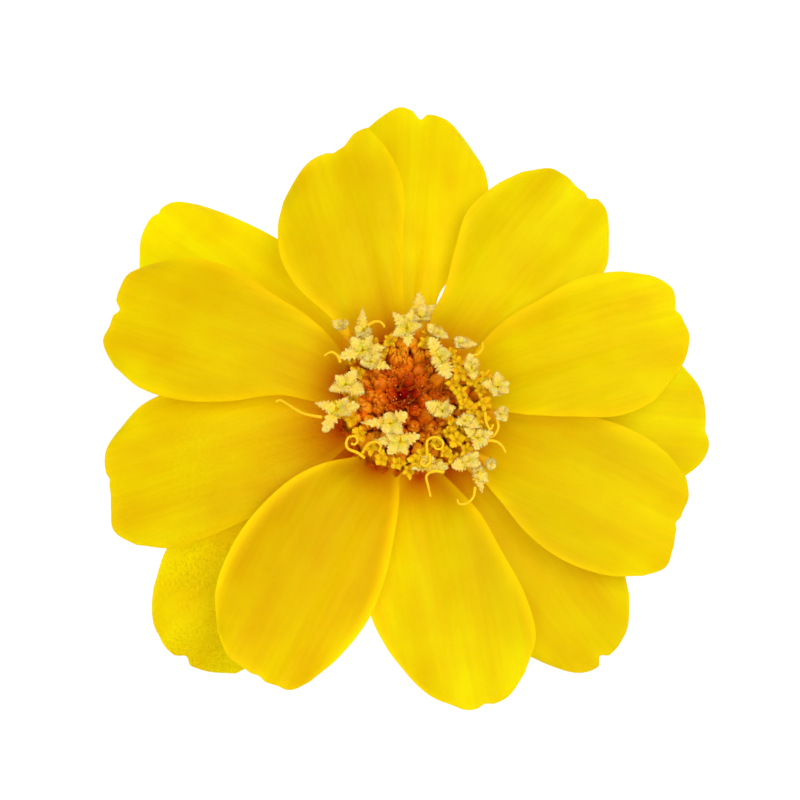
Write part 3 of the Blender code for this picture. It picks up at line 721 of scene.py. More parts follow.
def bud_colour(tree, place, grain):
    """Dark red in the pit to orange at the rim, in patches."""
    distance = distance_from_axis(tree, place, PIT_SEEN)
    patches = add_node(tree, "ShaderNodeTexNoise", Vector=place, Scale=1 / (BUD_PATCH * MM), Detail=1.0)
    shifted = add_node(tree, "ShaderNodeMath.MULTIPLY_ADD", patches, 2.0, distance)
    share = add_node(tree, "ShaderNodeMapRange", shifted, From_Min=1.0, From_Max=6.0)
    return add_node(tree, "ShaderNodeValToRGB", share, stops=(
        (0.0, "#840000"), (0.15, "#960A00"), (0.3, "#C04804"), (0.5, "#DA7606"), (0.8, "#E89410"),
        (1.0, "#F4AC1C")))


def chaff_colour(tree, place, grain):
    """Dark red in the pit, turning orange within a millimetre."""
    return add_node(tree, "ShaderNodeValToRGB", distance_from_axis(tree, place, PIT_SEEN), stops=(
        (0.0, "#840200"), (0.3, "#BC2C02"), (0.6, "#DE5A04"), (1.0, "#F08010")))


# waxy skin, finely dimpled and soft inside: rounded highlights on warm orange
orange_bud = surface("orange_bud_skin", bud_colour, 0.36, grain_mm=0.3, grain_depth_mm=0.08, depth_mm=0.5)
# dried scale tips with a glossy coat: sparks of light in the dark pit
red_chaff = surface("glossy_red_chaff", chaff_colour, 0.35, grain_mm=0.15, coat=0.3)
# spongy receptacle: a dull dark ground between the buds
red_pith = surface("dark_red_receptacle", "#C84404", 0.8, grain_mm=0.3, grain_depth_mm=0.1)
# dry pollen: pale specks
# pale specks drawn as pollen: painted glints among the chaff tips
pollen_glint = surface("pollen_glint", "#FFE08A", 0.4, grain_mm=0.02)
print("disc finishes:", orange_bud.name, red_chaff.name, red_pith.name, pollen_glint.name)

# %% [markdown]
# ## Disc: buds in a golden spiral
#
# Flowers pack their florets by one rule: each new one stands 137.5 degrees round from the last, at a distance
# that grows with the square root of its number. The tree below states this rule with an Index field. The
# spiral stands on a mound that sinks in the middle. Buds and chaff are two runs of one tree with other
# inputs, and what goes in as geometry is the single bud or chaff scale that gets repeated.

# %% Spiral tree
COLLAR_TOP = 11.0
SEAT = 11.3
MOUND_RADIUS = 4.9
MOUND_HEIGHT = 2.2
MOUND_SHOULDER = 1.2
PIT_RADIUS = 1.3
PIT_DEPTH = 0.55
PIT_CENTRE = (-0.2, 0.4)
PIT_SIZE = 0.62
GOLDEN_TURN = math.radians(137.508)
JITTER = 0.08
MOST_TIP = 0.3


def spiral_places(tree, given):
    """The places on the mound, the ways up there, and each one's share of the mound's radius."""
    step = add_node(tree, "ShaderNodeMath.ADD", tree.nodes.new("GeometryNodeInputIndex"), given["Shift"])
    distance = add_node(tree, "ShaderNodeMath.MULTIPLY", add_node(tree, "ShaderNodeMath.SQRT", step),
                        given["Spacing"])
    distance = add_node(tree, "ShaderNodeMath.MINIMUM", distance, (MOUND_RADIUS - 0.1) * MM)
    share = add_node(tree, "ShaderNodeMath.DIVIDE", distance, MOUND_RADIUS * MM)
    angle = add_node(tree, "ShaderNodeMath.MULTIPLY", step, GOLDEN_TURN)
    way = add_node(tree, "ShaderNodeCombineXYZ", add_node(tree, "ShaderNodeMath.COSINE", angle),
                   add_node(tree, "ShaderNodeMath.SINE", angle))

    slope = add_node(tree, "ShaderNodeMath.MULTIPLY", distance,
                     math.pi / 2 / ((MOUND_RADIUS + MOUND_SHOULDER) * MM))
    shoulder = add_node(tree, "ShaderNodeMath.SQRT", add_node(tree, "ShaderNodeMath.COSINE", slope))
    from_pit = add_node(tree, "ShaderNodeMath.DIVIDE", distance, PIT_RADIUS * MM)
    square = add_node(tree, "ShaderNodeMath.MULTIPLY", from_pit, from_pit)
    bell = add_node(tree, "ShaderNodeMath.EXPONENT", add_node(tree, "ShaderNodeMath.MULTIPLY", square, -1.0))
    relief = add_node(tree, "ShaderNodeMath.MULTIPLY_ADD", bell, -PIT_DEPTH, shoulder)
    ground = add_node(tree, "ShaderNodeMath.SUBTRACT", SEAT * MM, given["Sink"])
    height = add_node(tree, "ShaderNodeMath.MULTIPLY_ADD", relief, MOUND_HEIGHT * MM, ground)

    round_pit = add_node(tree, "ShaderNodeVectorMath.SCALE", way, Scale=distance)
    to_centre = add_node(tree, "ShaderNodeMath.SUBTRACT", 1.0, share)
    centre = add_node(tree, "ShaderNodeVectorMath.SCALE", (PIT_CENTRE[0] * MM, PIT_CENTRE[1] * MM, 0.0),
                      Scale=to_centre)
    spot = add_node(tree, "ShaderNodeVectorMath.ADD", round_pit, centre)
    spot = add_node(tree, "ShaderNodeVectorMath.ADD", spot, add_node(tree, "ShaderNodeCombineXYZ", Z=height))
    jitter = add_node(tree, "FunctionNodeRandomValue", settings={"data_type": "FLOAT_VECTOR"},
                      Min=(-JITTER * MM,) * 3, Max=(JITTER * MM,) * 3, Seed=given["Seed"])
    spot = add_node(tree, "ShaderNodeVectorMath.ADD", spot, jitter)
    leaning = add_node(tree, "ShaderNodeVectorMath.SCALE", way,
                       Scale=add_node(tree, "ShaderNodeMath.MULTIPLY", share, given["Splay"]))
    return spot, add_node(tree, "ShaderNodeVectorMath.ADD", leaning, (0.0, 0.0, 1.0)), share


def spiral_on_mound(name):
    """A tree that stands the geometry it is given on a golden spiral over the mound."""
    tree, given = new_tree(name, Count=54, Spacing=0.62 * MM, Shift=0.8, Sink=0.0, Smallest=0.88,
                           Largest=1.12, Splay=1.0, Seed=1)
    spot, upwards, share = spiral_places(tree, given)
    points = add_node(tree, "GeometryNodePoints", Count=given["Count"], Position=spot)
    growth = add_node(tree, "ShaderNodeMath.MINIMUM", add_node(tree, "ShaderNodeMath.MULTIPLY", share, 1.3),
                      1 - PIT_SIZE)
    size = add_node(tree, "ShaderNodeMath.MULTIPLY", add_node(tree, "ShaderNodeMath.ADD", PIT_SIZE, growth),
                    random_between(tree, given["Smallest"], given["Largest"], given["Seed"], 5))
    stood = add_node(tree, "GeometryNodeCaptureAttribute", Geometry=points)
    for kind, title, value in (("VECTOR", "upwards", upwards), ("FLOAT", "size", size)):
        stood.capture_items.new(kind, title)
        tree.links.new(value.outputs[0], stood.inputs[title])
    rotation = tipped_rotation(tree, stood.outputs["upwards"], given["Seed"], MOST_TIP)
    squeeze = add_node(tree, "ShaderNodeCombineXYZ", random_between(tree, 0.8, 1.2, given["Seed"], 7),
                       random_between(tree, 0.8, 1.2, given["Seed"], 8),
                       random_between(tree, 0.85, 1.15, given["Seed"], 9))
    scale = add_node(tree, "ShaderNodeVectorMath.SCALE", squeeze, Scale=stood.outputs["size"])
    return tree, add_node(tree, "GeometryNodeInstanceOnPoints", Points=stood.outputs["Geometry"],
                          Instance=given["Geometry"], Rotation=rotation, Scale=scale)


print("golden turn, degrees:", round(math.degrees(GOLDEN_TURN), 1))

# %% [markdown]
# A bud is a turned form, closed at both ends, with five grooves where its lobes will part. It could be
# sculpted, but at this size a profile and one cosine round it say all that shows.

# %% Buds
# (radius, height) pairs in millimetres, from the root to the dimple in the tip
BUD_PROFILE = ((0.25, -1.0), (0.42, -0.3), (0.58, 0.25), (0.64, 0.6), (0.62, 0.95), (0.5, 1.22),
               (0.36, 1.42), (0.2, 1.5), (0.1, 1.3))
GROOVE_WIDTH = 0.6
GROOVE_DEPTH = 0.75
GROOVE_DROP = 0.5


def turned_faces(rings, segments):
    """Faces of a closed turned form: the sides between its rings, then a fan round each end point."""
    faces = []
    for j in range(rings - 1):
        for k in range(segments):
            a, b = j * segments + k, j * segments + (k + 1) % segments
            faces.append((a, b, b + segments, a + segments))
    last = (rings - 1) * segments
    ends = rings * segments
    for k in range(segments):
        n = (k + 1) % segments
        faces += [(ends, n, k), (ends + 1, last + k, last + n)]
    return faces


def turned_form(profile, segments, ripple):
    """Points and faces from (radius, height) pairs. The ripple is each point's radius factor and lift."""
    points = []
    for j, (radius, height) in enumerate(profile):
        share = j / (len(profile) - 1)
        for k in range(segments):
            angle = 2 * math.pi * k / segments
            wider, higher = ripple(share, angle)
            points.append((radius * wider * math.cos(angle), radius * wider * math.sin(angle),
                           height + higher))
    points += [(0, 0, profile[0][1]), (0, 0, profile[-1][1])]
    return points, turned_faces(len(profile), segments)


def no_ripple(share, angle):
    """A smooth turned form."""
    return 1, 0


def five_lobes(share, angle):
    """Five grooves that deepen towards the closed tip of a bud, where the lobes meet."""
    groove = abs(math.cos(2.5 * angle)) ** GROOVE_WIDTH - GROOVE_WIDTH
    return 1 + GROOVE_DEPTH * share**2 * groove, GROOVE_DROP * share**3 * groove


bud = new_piece("closed_buds", *turned_form(BUD_PROFILE, 20, five_lobes))
tree, instances = spiral_on_mound("bud spiral")
run_tree(bud, tree, instances, orange_bud, Count=54, Spacing=0.62 * MM, Sink=0.1 * MM, Smallest=0.86,
         Largest=1.2, Seed=7)
print("buds:", triangles(bud), "triangles")

# %% [markdown]
# A chaff scale stands beside each floret. It is a narrow curved strip with a torn, glossy tip. Pale specks
# drawn as pollen grains sit among the tips, and they paint the glints there: painted highlights. The specks
# are scattered over a low cone just above the mound, and the cone itself isn't kept.

# %% Chaff, mound and pollen
CHAFF_CELLS = 6
CHAFF_LENGTH = 1.9
CHAFF_WIDTH = 0.95
CHAFF_THICKNESS = 0.06
CHAFF_ROOT = 0.6
MOUND_STEPS = 16


def chaff_scale(name):
    """One strip with a fringed tip, curved round the vertical."""
    points = []
    for side in (CHAFF_THICKNESS / 2, -CHAFF_THICKNESS / 2):
        for j in range(CHAFF_CELLS + 1):
            for i in range(CHAFF_CELLS + 1):
                across, along = 2 * i / CHAFF_CELLS - 1, j / CHAFF_CELLS
                tooth = 0.32 * (i % 2) - 0.25 * abs(across)
                height = CHAFF_LENGTH * along + (tooth if j == CHAFF_CELLS else 0.0)
                half = CHAFF_WIDTH / 2 * (0.6 + 0.5 * along - 0.25 * along**3)
                points.append((across * half, 0.35 * across**2 + 0.25 * along**2 + side, height - CHAFF_ROOT))
    return new_piece(name, points, slab_faces(CHAFF_CELLS, CHAFF_CELLS))


def mound_height(radius):
    """Height of the ground that the buds grow from."""
    shoulder = math.sqrt(math.cos(math.pi / 2 * radius / (MOUND_RADIUS + MOUND_SHOULDER)))
    pit = PIT_DEPTH * math.exp(-(radius / PIT_RADIUS) ** 2)
    return SEAT + 0.2 + 0.62 * MOUND_HEIGHT * (shoulder - pit)


chaff = chaff_scale("chaff_tips")
tree, instances = spiral_on_mound("chaff spiral")
run_tree(chaff, tree, instances, red_chaff, Count=120, Spacing=0.42 * MM, Shift=1.4, Sink=-0.1 * MM,
         Smallest=0.75, Largest=1.2, Splay=0.8, Seed=21)

mound_radii = [0.05 + MOUND_RADIUS * k / MOUND_STEPS for k in range(MOUND_STEPS, -1, -1)]
mound_profile = [(MOUND_RADIUS, SEAT)] + [(radius, mound_height(radius)) for radius in mound_radii]
mound = new_piece("disc_mound", *turned_form(mound_profile, 64, no_ripple))
mound.data.materials.append(red_pith)

# painted glints: pale pollen specks scattered among the chaff tips
glint_cone = ((MOUND_RADIUS * 0.8, SEAT + 1.9), (2.6, SEAT + 3.1), (1.2, SEAT + 2.9))
glint_specks = new_piece("painted_glint_specks", *turned_form(glint_cone, 24, no_ripple))
tree, given = new_tree("scattered grains", Density=1.1e6, Radius=0.045 * MM, Seed=1)
spread = add_node(tree, "GeometryNodeDistributePointsOnFaces", Mesh=given["Geometry"],
                  Density=given["Density"], Seed=given["Seed"])
ball = add_node(tree, "GeometryNodeMeshIcoSphere", Radius=given["Radius"], Subdivisions=1)
grains = add_node(tree, "GeometryNodeInstanceOnPoints", Points=spread, Instance=ball,
                  Scale=random_between(tree, 0.6, 1.4, given["Seed"], 3))
run_tree(glint_specks, tree, grains, pollen_glint, Density=1.1e6, Seed=4)
for piece in (bud, chaff, mound, glint_specks):
    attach(piece, "root")
    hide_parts("disc_buds")
print("chaff, mound and pollen triangles:", [triangles(p) for p in (chaff, mound, glint_specks)])

# %% [markdown]
# ## Open florets: where each one faces
#
# The open florets make the ring of pale stars, and here the photograph matters more than any rule: each star
# was measured by its centre and its five lobe tips. The camera sees only sideways and upwards in its picture,
# so one function turns such a pair and a height into a place. Lobes are about as long as each other, so one
# that looks short rises towards the camera. It doesn't rise by all that its length would allow, because the
# shortest ones are curled.

# %% Measured stars, in millimetres as the camera sees them from the axis
FLORETS = (
    # centre: right, up, height; then the five lobe tips from that centre: right, up
    (3.0, 7.5, 15.2, ((-1.0, 0.9), (-0.3, 0.5), (0.6, 0.1), (1.1, -0.5), (0.1, -0.5))),
    (0.0, 8.0, 15.6, ((-1.4, 1.6), (0.6, 2.1), (1.5, 0.3), (0.1, -1.8), (-1.5, -0.8))),
    (1.3, 9.2, 14.6, ((-0.1, 2.4), (1.5, 1.1), (1.0, -0.4), (-0.6, -0.5), (0.5, 0.9))),
    (-4.4, 7.8, 15.0, ((0.0, 2.3), (0.9, -0.2), (-0.8, 0.2), (-0.5, -0.7), (0.5, -0.7))),
    (-6.6, 8.3, 14.0, ((-0.8, 0.4), (0.8, 0.1), (0.0, 0.5), (0.3, -0.4), (-0.4, -0.4))),
    (-4.4, 5.8, 15.8, ((-2.4, -0.7), (-1.1, 1.3), (1.0, 1.5), (2.3, 0.3), (0.6, -1.0))),
    (-3.6, 4.7, 16.0, ((2.0, -0.7), (1.1, 0.8), (-0.5, 0.8), (-1.0, -0.2), (0.0, -0.8))),
    (-6.1, 2.4, 16.2, ((-1.6, -0.6), (-1.0, 0.9), (1.1, 1.5), (1.9, -0.8), (0.2, -0.8))),
    (-6.9, 0.0, 16.0, ((-2.2, 0.6), (-1.3, -2.3), (1.3, -0.6), (1.1, 1.2), (2.2, 0.3))),
    (-1.7, -1.4, 16.2, ((-2.9, 0.1), (-0.2, 1.1), (1.7, 1.0), (1.3, -1.0), (-0.6, -0.9))),
    (-0.7, -3.2, 15.8, ((-1.4, 0.9), (2.0, 0.6), (0.7, -1.3), (-1.2, -1.2), (-2.5, 0.1))),
    (2.1, -5.4, 14.8, ((2.0, -0.4), (0.8, -0.8), (-1.7, -0.6), (-0.8, 0.5), (0.4, 0.8))),
    (6.0, -5.2, 14.8, ((-1.6, -0.5), (1.0, 1.0), (-0.4, 0.6), (0.4, -0.5), (1.3, -0.2))),
    (7.0, -6.2, 13.8, ((0.4, -2.1), (1.0, -1.0), (-0.5, 0.4), (0.3, 0.6), (-0.6, -0.4))),
    (8.2, -5.4, 14.0, ((0.5, 0.3), (-0.4, 0.3), (0.5, -0.4), (-0.3, -0.4), (0.1, 0.5))),
    (7.0, -2.8, 15.4, ((-1.4, 0.9), (-0.3, -1.2), (1.5, 0.5), (0.9, -0.7), (0.2, 0.9))),
    (5.7, -1.1, 16.0, ((-0.9, -0.3), (-0.2, 0.7), (1.5, -0.7), (0.9, 0.4), (0.2, -0.6))),
    (3.5, -0.2, 16.2, ((-1.7, 0.8), (-0.9, -0.5), (0.6, 1.2), (1.3, 0.4), (0.4, -0.5))),
    (9.2, -0.5, 14.8, ((0.8, 0.5), (-0.7, 0.1), (0.6, -0.7), (-0.3, -0.6), (0.2, 0.8))),
    (9.0, 2.2, 15.4, ((-0.2, 1.5), (-1.7, 0.3), (1.1, 0.4), (1.0, -0.6), (-0.5, -0.9))),
    (6.4, 4.1, 15.8, ((-0.3, 1.4), (0.2, -1.2), (-0.9, 0.4), (0.6, 0.1), (0.4, 0.9))),
    (5.3, 6.6, 14.6, ((-0.7, 0.3), (1.7, -0.2), (0.3, 0.5), (-0.5, -0.5), (0.6, -0.5))),
    (3.2, 5.1, 16.2, ((-0.9, 2.0), (1.2, 0.4), (-0.8, -0.6), (0.9, -2.1), (0.5, 1.0))),
)
LOBE_LENGTH = 2.05
LOBE_HALF_WIDTH = 0.84
LOBE_RISE = 0.22
TUBE_FOOT = (6.05, 10.2)
TUBE_RADII = (0.42, 0.42, 0.42, 0.44, 0.5, 0.58)


def seen_place(right, up, height):
    """The point at that height which the camera sees that far right of the axis and up from it."""
    level = (height - PETAL_LEVEL) * math.cos(CAMERA_ELEVATION)
    return np.array([right, (up - level) / math.sin(CAMERA_ELEVATION), height])


def facing(throat):
    """The way that a star faces: up, and leaning outwards the further out it stands."""
    outward = throat[:2] / np.hypot(*throat[:2])
    lean = max(0.1, (np.hypot(*throat[:2]) - TUBE_FOOT[0]) / 6)
    way = np.array([outward[0] * lean, outward[1] * lean, 1.0])
    return way / np.linalg.norm(way)


print("stars:", len(FLORETS), "with", sum(len(floret[3]) for floret in FLORETS), "lobes")

# %% [markdown]
# ## Open florets: tubes and lobes
#
# Each floret is a tube that bends from its foot on the collar to its throat, with five lobes that spread
# from the throat. A tube is a ring swept along a Bezier curve. A lobe is a small curved slab with a toothed
# edge. Copies of one floret would be quicker, but then all the stars would be alike, and real ones differ.
# The growth attribute runs from 0 at the foot through 1 at the throat to 2 at a lobe's tip, and it later
# gives both the colour and the fuzz.

# %% Floret tubes
def bezier(points, t):
    """Points of a Bezier curve at each t from 0 to 1."""
    points = [np.asarray(p, float)[None, :] * np.ones((len(t), 1)) for p in points]
    t = np.asarray(t)[:, None]
    while len(points) > 1:
        points = [a * (1 - t) + b * t for a, b in zip(points, points[1:])]
    return points[0]


def tube_mesh(path, radii, growth, segments=12):
    """A closed tube along a path, as points, faces and growth values. Its open end is hollowed."""
    points, values = [], []
    ways = np.gradient(path, axis=0)
    side = np.cross(ways[0], (0.3, 0.2, 1.0))
    for j, (centre, way, radius) in enumerate(zip(path, ways, radii)):
        way = way / np.linalg.norm(way)
        side = side - way * side.dot(way)
        side /= np.linalg.norm(side)
        other = np.cross(way, side)
        for k in range(segments):
            angle = 2 * math.pi * k / segments
            points.append(centre + radius * (math.cos(angle) * side + math.sin(angle) * other))
            values.append(growth[j])
    tip_way = ways[-1] / np.linalg.norm(ways[-1])
    points += [path[0], path[-1] - tip_way * radii[-1] * 0.7]
    values += [growth[0], growth[-1] - 0.25]
    return points, turned_faces(len(path), segments), values


print("a tube's bend at its middle:", bezier(((0, 0, 0), (0, 0, 1), (1, 0, 1)), [0.5]).round(2).tolist())

# %% Floret lobes
LOBE_THICKNESS = 0.12
LOBE_COLUMNS = 6
LOBE_WIDTHS = (0.85, 1.1)
LOBE_TAPERS = (0.6, 1.3)
LOBE_TEETH = (4, 7)
TOOTH_SHARE = 0.38
LOBE_CUPS = (-0.08, 0.12)
LOBE_TWIST = 0.4
LOBE_RIPPLE = 0.03


def lobe_mesh(throat, tip, up, half_width, draw, rows):
    """A flat tongue from the throat to its tip, with torn teeth along its sides."""
    # the spine is a shallow arch, and short lobes are narrower too
    along = np.linspace(0, 1, rows + 1)
    start = throat + (tip - throat) * 0.1 - up * 0.1
    crest = throat + (tip - throat) * draw.uniform(0.45, 0.6) + up * draw.uniform(0.0, 0.22)
    path = bezier((start, crest, tip), along)
    ways = np.gradient(path, axis=0)
    fullness = min(1.0, 0.6 + 0.22 * float(np.linalg.norm(tip - throat)))
    width = half_width * fullness * draw.uniform(*LOBE_WIDTHS) * (0.75 + along)
    width *= (1.02 - along) ** draw.uniform(*LOBE_TAPERS)
    teeth = draw.randint(*LOBE_TEETH)
    phases = (draw.uniform(0, 1), draw.uniform(0, 1))
    cup = draw.uniform(*LOBE_CUPS)
    twist = draw.uniform(-LOBE_TWIST, LOBE_TWIST)
    # across the spine the lobe is cupped, rippled and a little twisted, and its sides have saw teeth
    top, under, values = [], [], []
    for j in range(rows + 1):
        way = ways[j] / np.linalg.norm(ways[j])
        across_way = np.cross(up, way)
        across_way /= np.linalg.norm(across_way)
        across_way = across_way + up * twist * along[j]
        normal = np.cross(way, across_way)
        normal /= np.linalg.norm(normal)
        for i in range(LOBE_COLUMNS + 1):
            across = -1 + 2 * i / LOBE_COLUMNS
            phase = phases[0] if across < 0 else phases[1]
            tooth = 1 + TOOTH_SHARE * abs(across) ** 3 * (((along[j] * teeth + phase) % 1) * 2 - 1)
            point = path[j] + across_way * across * width[j] * tooth
            point = point + normal * (cup * across**2 - LOBE_RIPPLE * math.cos(3 * math.pi * across))
            top.append(point + normal * LOBE_THICKNESS / 2)
            under.append(point - normal * LOBE_THICKNESS / 2)
            values.append(1 + along[j])
    return top + under, slab_faces(LOBE_COLUMNS, rows), values + [v - 0.25 for v in values]


print("lobe cells:", LOBE_COLUMNS, "across, teeth a side:", LOBE_TEETH)

# %% Floret assembly
COLLAR_RADIUS = 6.5
COLLAR_BOTTOM = 8.0
COLLAR_BEVEL = 0.3
STAR_ROWS = 22


def join_meshes(name, parts, attribute):
    """One object from several (points, faces, values) meshes, with the values as a named attribute."""
    points, faces, values = [], [], []
    for part_points, part_faces, part_values in parts:
        shift = len(points)
        points += list(part_points)
        faces += [tuple(i + shift for i in face) for face in part_faces]
        values += list(part_values)
    piece = new_piece(name, points, faces)
    layer = piece.data.attributes.new(attribute, "FLOAT", "POINT")
    layer.data.foreach_set("value", np.asarray(values, dtype=np.float32))
    return piece


def floret_parts(number, right, up, height, tips, half_width=LOBE_HALF_WIDTH, girth=1.0,
                 rising=LOBE_RISE, rows=STAR_ROWS):
    """The tube and lobes of one floret."""
    draw = random.Random(300 + number)
    throat = seen_place(right, up, height)
    face = facing(throat)
    outward = throat[:2] / np.hypot(*throat[:2])
    foot = np.array([TUBE_FOOT[0] * outward[0], TUBE_FOOT[0] * outward[1], TUBE_FOOT[1]])
    bend = np.array([0, 0, (height - TUBE_FOOT[1]) * 0.45])
    steps = np.linspace(0, 1, 13)
    path = bezier((foot, foot + bend, throat - face * 1.2, throat), steps)
    radii = girth * np.interp(steps, np.linspace(0, 1, len(TUBE_RADII)), TUBE_RADII)
    parts = [tube_mesh(path, radii, steps)]
    for tip_right, tip_up in tips:
        seen = math.hypot(tip_right, tip_up)
        spare = math.sqrt(max(0.0, LOBE_LENGTH**2 - seen**2))
        away = tip_right * outward[0] + tip_up * outward[1]
        rise = 0.12 + rising * min(spare, 1.2 * seen + 0.3) - away * face[2] * np.hypot(*face[:2])
        y = (tip_up - rise * math.cos(CAMERA_ELEVATION)) / math.sin(CAMERA_ELEVATION)
        tip = throat + np.array([tip_right, y, rise])
        parts.append(lobe_mesh(throat, tip, face, half_width, draw, rows))
    return parts


def collar_part():
    """The ring of fused feet that carries the florets."""
    inner = COLLAR_RADIUS - COLLAR_BEVEL
    profile = ((inner, COLLAR_BOTTOM), (COLLAR_RADIUS, COLLAR_BOTTOM + COLLAR_BEVEL),
               (COLLAR_RADIUS, COLLAR_TOP - COLLAR_BEVEL), (inner, COLLAR_TOP))
    points, faces = turned_form(profile, 72, lambda share, angle: (1 + 0.012 * math.cos(22 * angle), 0))
    return points, faces, [0.0] * len(points)


parts = [collar_part()]
for number, floret in enumerate(FLORETS):
    parts += floret_parts(number, *floret)
print("stars:", sum(len(part[1]) for part in parts), "faces")

# %% [markdown]
# ## Half-open florets
#
# Between the stars stands a crowd of florets that have only begun to open. They are golden, not cream, and
# none shows clearly enough to be traced. They could be left to a ring of buds, but the crowd has pointed
# tips. So the same function makes them, smaller and with drawn lobe tips, in the gaps between the stars.
# Their growth values stay low, which keeps them golden and without fuzz.

# %% Half-open florets
HALF_OPEN = (
    # centre: right, up, height
    (4.6, 2.6, 15.2), (5.3, 1.7, 15.3), (5.7, 0.5, 15.4), (5.2, 3.6, 15.2), (4.6, -1.4, 15.4),
    (4.9, -3.0, 15.2), (3.8, -4.2, 15.0), (0.8, -5.1, 14.9), (-0.9, -5.3, 14.6), (-2.5, -4.9, 14.8),
    (-3.6, -3.7, 15.0), (-4.7, -2.4, 15.2), (-5.4, 0.9, 15.0), (-4.9, 3.6, 15.2), (-1.6, 6.9, 14.8),
    (1.8, 6.6, 14.8), (4.3, 5.6, 14.8), (7.6, 0.6, 14.8), (7.3, 1.9, 15.0), (5.9, -4.0, 14.6),
    (3.2, -5.6, 14.4), (7.7, -1.9, 14.6), (-4.3, 6.9, 14.6), (2.3, 7.7, 14.4), (-2.4, 5.9, 14.6),
    (5.0, 4.5, 14.9), (-5.6, -0.9, 14.8), (6.4, -0.2, 15.0), (1.6, -4.3, 14.8), (2.9, -3.3, 14.8),
    (4.1, -2.3, 15.0), (5.8, -2.4, 14.8), (7.4, -0.9, 14.8), (6.6, 2.9, 14.9), (0.2, -6.1, 14.2),
    (4.6, -5.0, 14.4), (-3.3, 6.3, 14.6), (-5.6, 5.0, 14.6), (7.9, 3.2, 14.6),
)
HALF_OPEN_LOBE = 0.85
HALF_OPEN_HALF_WIDTH = 0.52
HALF_OPEN_GIRTH = 0.9
HALF_OPEN_RISE = 0.38
HALF_OPEN_ROWS = 8
HALF_OPEN_GROWTH = 0.34


def half_open_parts(number, right, up, height):
    """A golden floret whose five pointed lobes have only begun to spread."""
    draw = random.Random(400 + number)
    start = draw.uniform(0, 2 * math.pi)
    tips = []
    for k in range(5):
        angle = start + 2 * math.pi * k / 5
        reach = HALF_OPEN_LOBE * draw.uniform(0.7, 1.2)
        tips.append((reach * math.cos(angle), reach * math.sin(angle)))
    grown = floret_parts(900 + number, right, up, height, tips, HALF_OPEN_HALF_WIDTH, HALF_OPEN_GIRTH,
                         HALF_OPEN_RISE, HALF_OPEN_ROWS)
    return [(points, faces, [v * HALF_OPEN_GROWTH for v in values]) for points, faces, values in grown]


for number, floret in enumerate(HALF_OPEN):
    parts += half_open_parts(number, *floret)
stars = join_meshes("star_florets", parts, "growth")
print("star florets:", triangles(stars), "triangles")

# %% [markdown]
# ## Open florets: finish and fuzz
#
# The lobes are covered with papillae, short soft hairs that scatter light and make them look like cream
# velvet. They are what sets the lobes apart from the smooth golden tubes. Papillae are stood on the lobes
# by Geometry Nodes, dense where the growth attribute says that the surface is a lobe. Drawing them as a
# bump would leave the outline smooth, and in the picture the lobes' edges are clearly rough. Real ones are
# finer than the picture can show, so they are drawn as coarse as it needs.

# %% Floret finish and papillae
COLOUR_SPOT = 0.35
TUFT = 0.16
FUZZ_TIP = 0.6


def floret_colour(tree, place, grain):
    """Orange at the foot, golden along the tube and cream on the lobes, in spots."""
    growth = add_node(tree, "ShaderNodeAttribute", settings={"attribute_name": "growth"}).outputs["Fac"]
    spots = add_node(tree, "ShaderNodeTexNoise", Vector=place, Scale=1 / (COLOUR_SPOT * MM), Detail=2.0)
    moved = add_node(tree, "ShaderNodeMath.MULTIPLY_ADD", spots, 0.5, growth)
    share = add_node(tree, "ShaderNodeMapRange", moved, From_Min=0.25, From_Max=2.25)
    return add_node(tree, "ShaderNodeValToRGB", share, stops=(
        (0.0, "#F69A08"), (0.1, "#FFB60E"), (0.25, "#FFC614"), (0.46, "#FFCE16"), (0.6, "#FFD43A"),
        (1.0, "#FFDE78")))


def papilla_colour(tree, place, grain):
    """Tufts of golden, cream and almost white hairs."""
    tufts = add_node(tree, "ShaderNodeTexNoise", Vector=place, Scale=1 / (TUFT * MM), Detail=1.0)
    return add_node(tree, "ShaderNodeValToRGB", tufts, stops=(
        (0.34, "#F4C020"), (0.48, "#FBE27C"), (0.6, "#FFFFE0")))


def fuzz_rule(name):
    """A tree that stands small cones on the surface, where its growth value passes 1."""
    tree, given = new_tree(name, Density=2.0e7, Length=0.14 * MM, Width=0.045 * MM, Seed=1)
    growth = add_node(tree, "GeometryNodeInputNamedAttribute", "growth", settings={"data_type": "FLOAT"})
    where = add_node(tree, "ShaderNodeMapRange", growth, From_Min=1.05, From_Max=1.35)
    density = add_node(tree, "ShaderNodeMath.MULTIPLY", where, given["Density"])
    spread = add_node(tree, "GeometryNodeDistributePointsOnFaces", Mesh=given["Geometry"], Density=density,
                      Seed=given["Seed"])
    cone = add_node(tree, "GeometryNodeMeshCone", Vertices=4, Radius_Bottom=given["Width"],
                    Depth=given["Length"])
    rotation = tipped_rotation(tree, spread.outputs["Normal"], given["Seed"], FUZZ_TIP)
    return tree, add_node(tree, "GeometryNodeInstanceOnPoints", Points=spread, Instance=cone,
                          Rotation=rotation, Scale=random_between(tree, 0.6, 1.5, given["Seed"], 2))


# moist golden tissue, lit from inside: the tubes and the ground of the lobes
velvet = surface("golden_floret_tissue", floret_colour, 0.5, grain_mm=0.12, grain_depth_mm=0.03, depth_mm=0.4)
# dry matte hairs: the cream bloom on the lobes
papilla = surface("cream_papillae", papilla_colour, 0.6, grain_mm=0.05)
stars.data.materials.append(velvet)
fuzz = add_object("floret_papillae", stars.data.copy())
tree, instances = fuzz_rule("papillae")
run_tree(fuzz, tree, instances, papilla, Density=6e7, Length=0.075 * MM, Width=0.04 * MM, Seed=9)
print("papillae:", triangles(fuzz), "triangles")

# %% [markdown]
# ## Young florets
#
# Under the open and half-open florets stand the youngest ones, closed and golden. They fill what would
# otherwise be dark gaps. They keep to two rings, one inside the other, so one more tree repeats one bud
# round a circle, and runs twice.

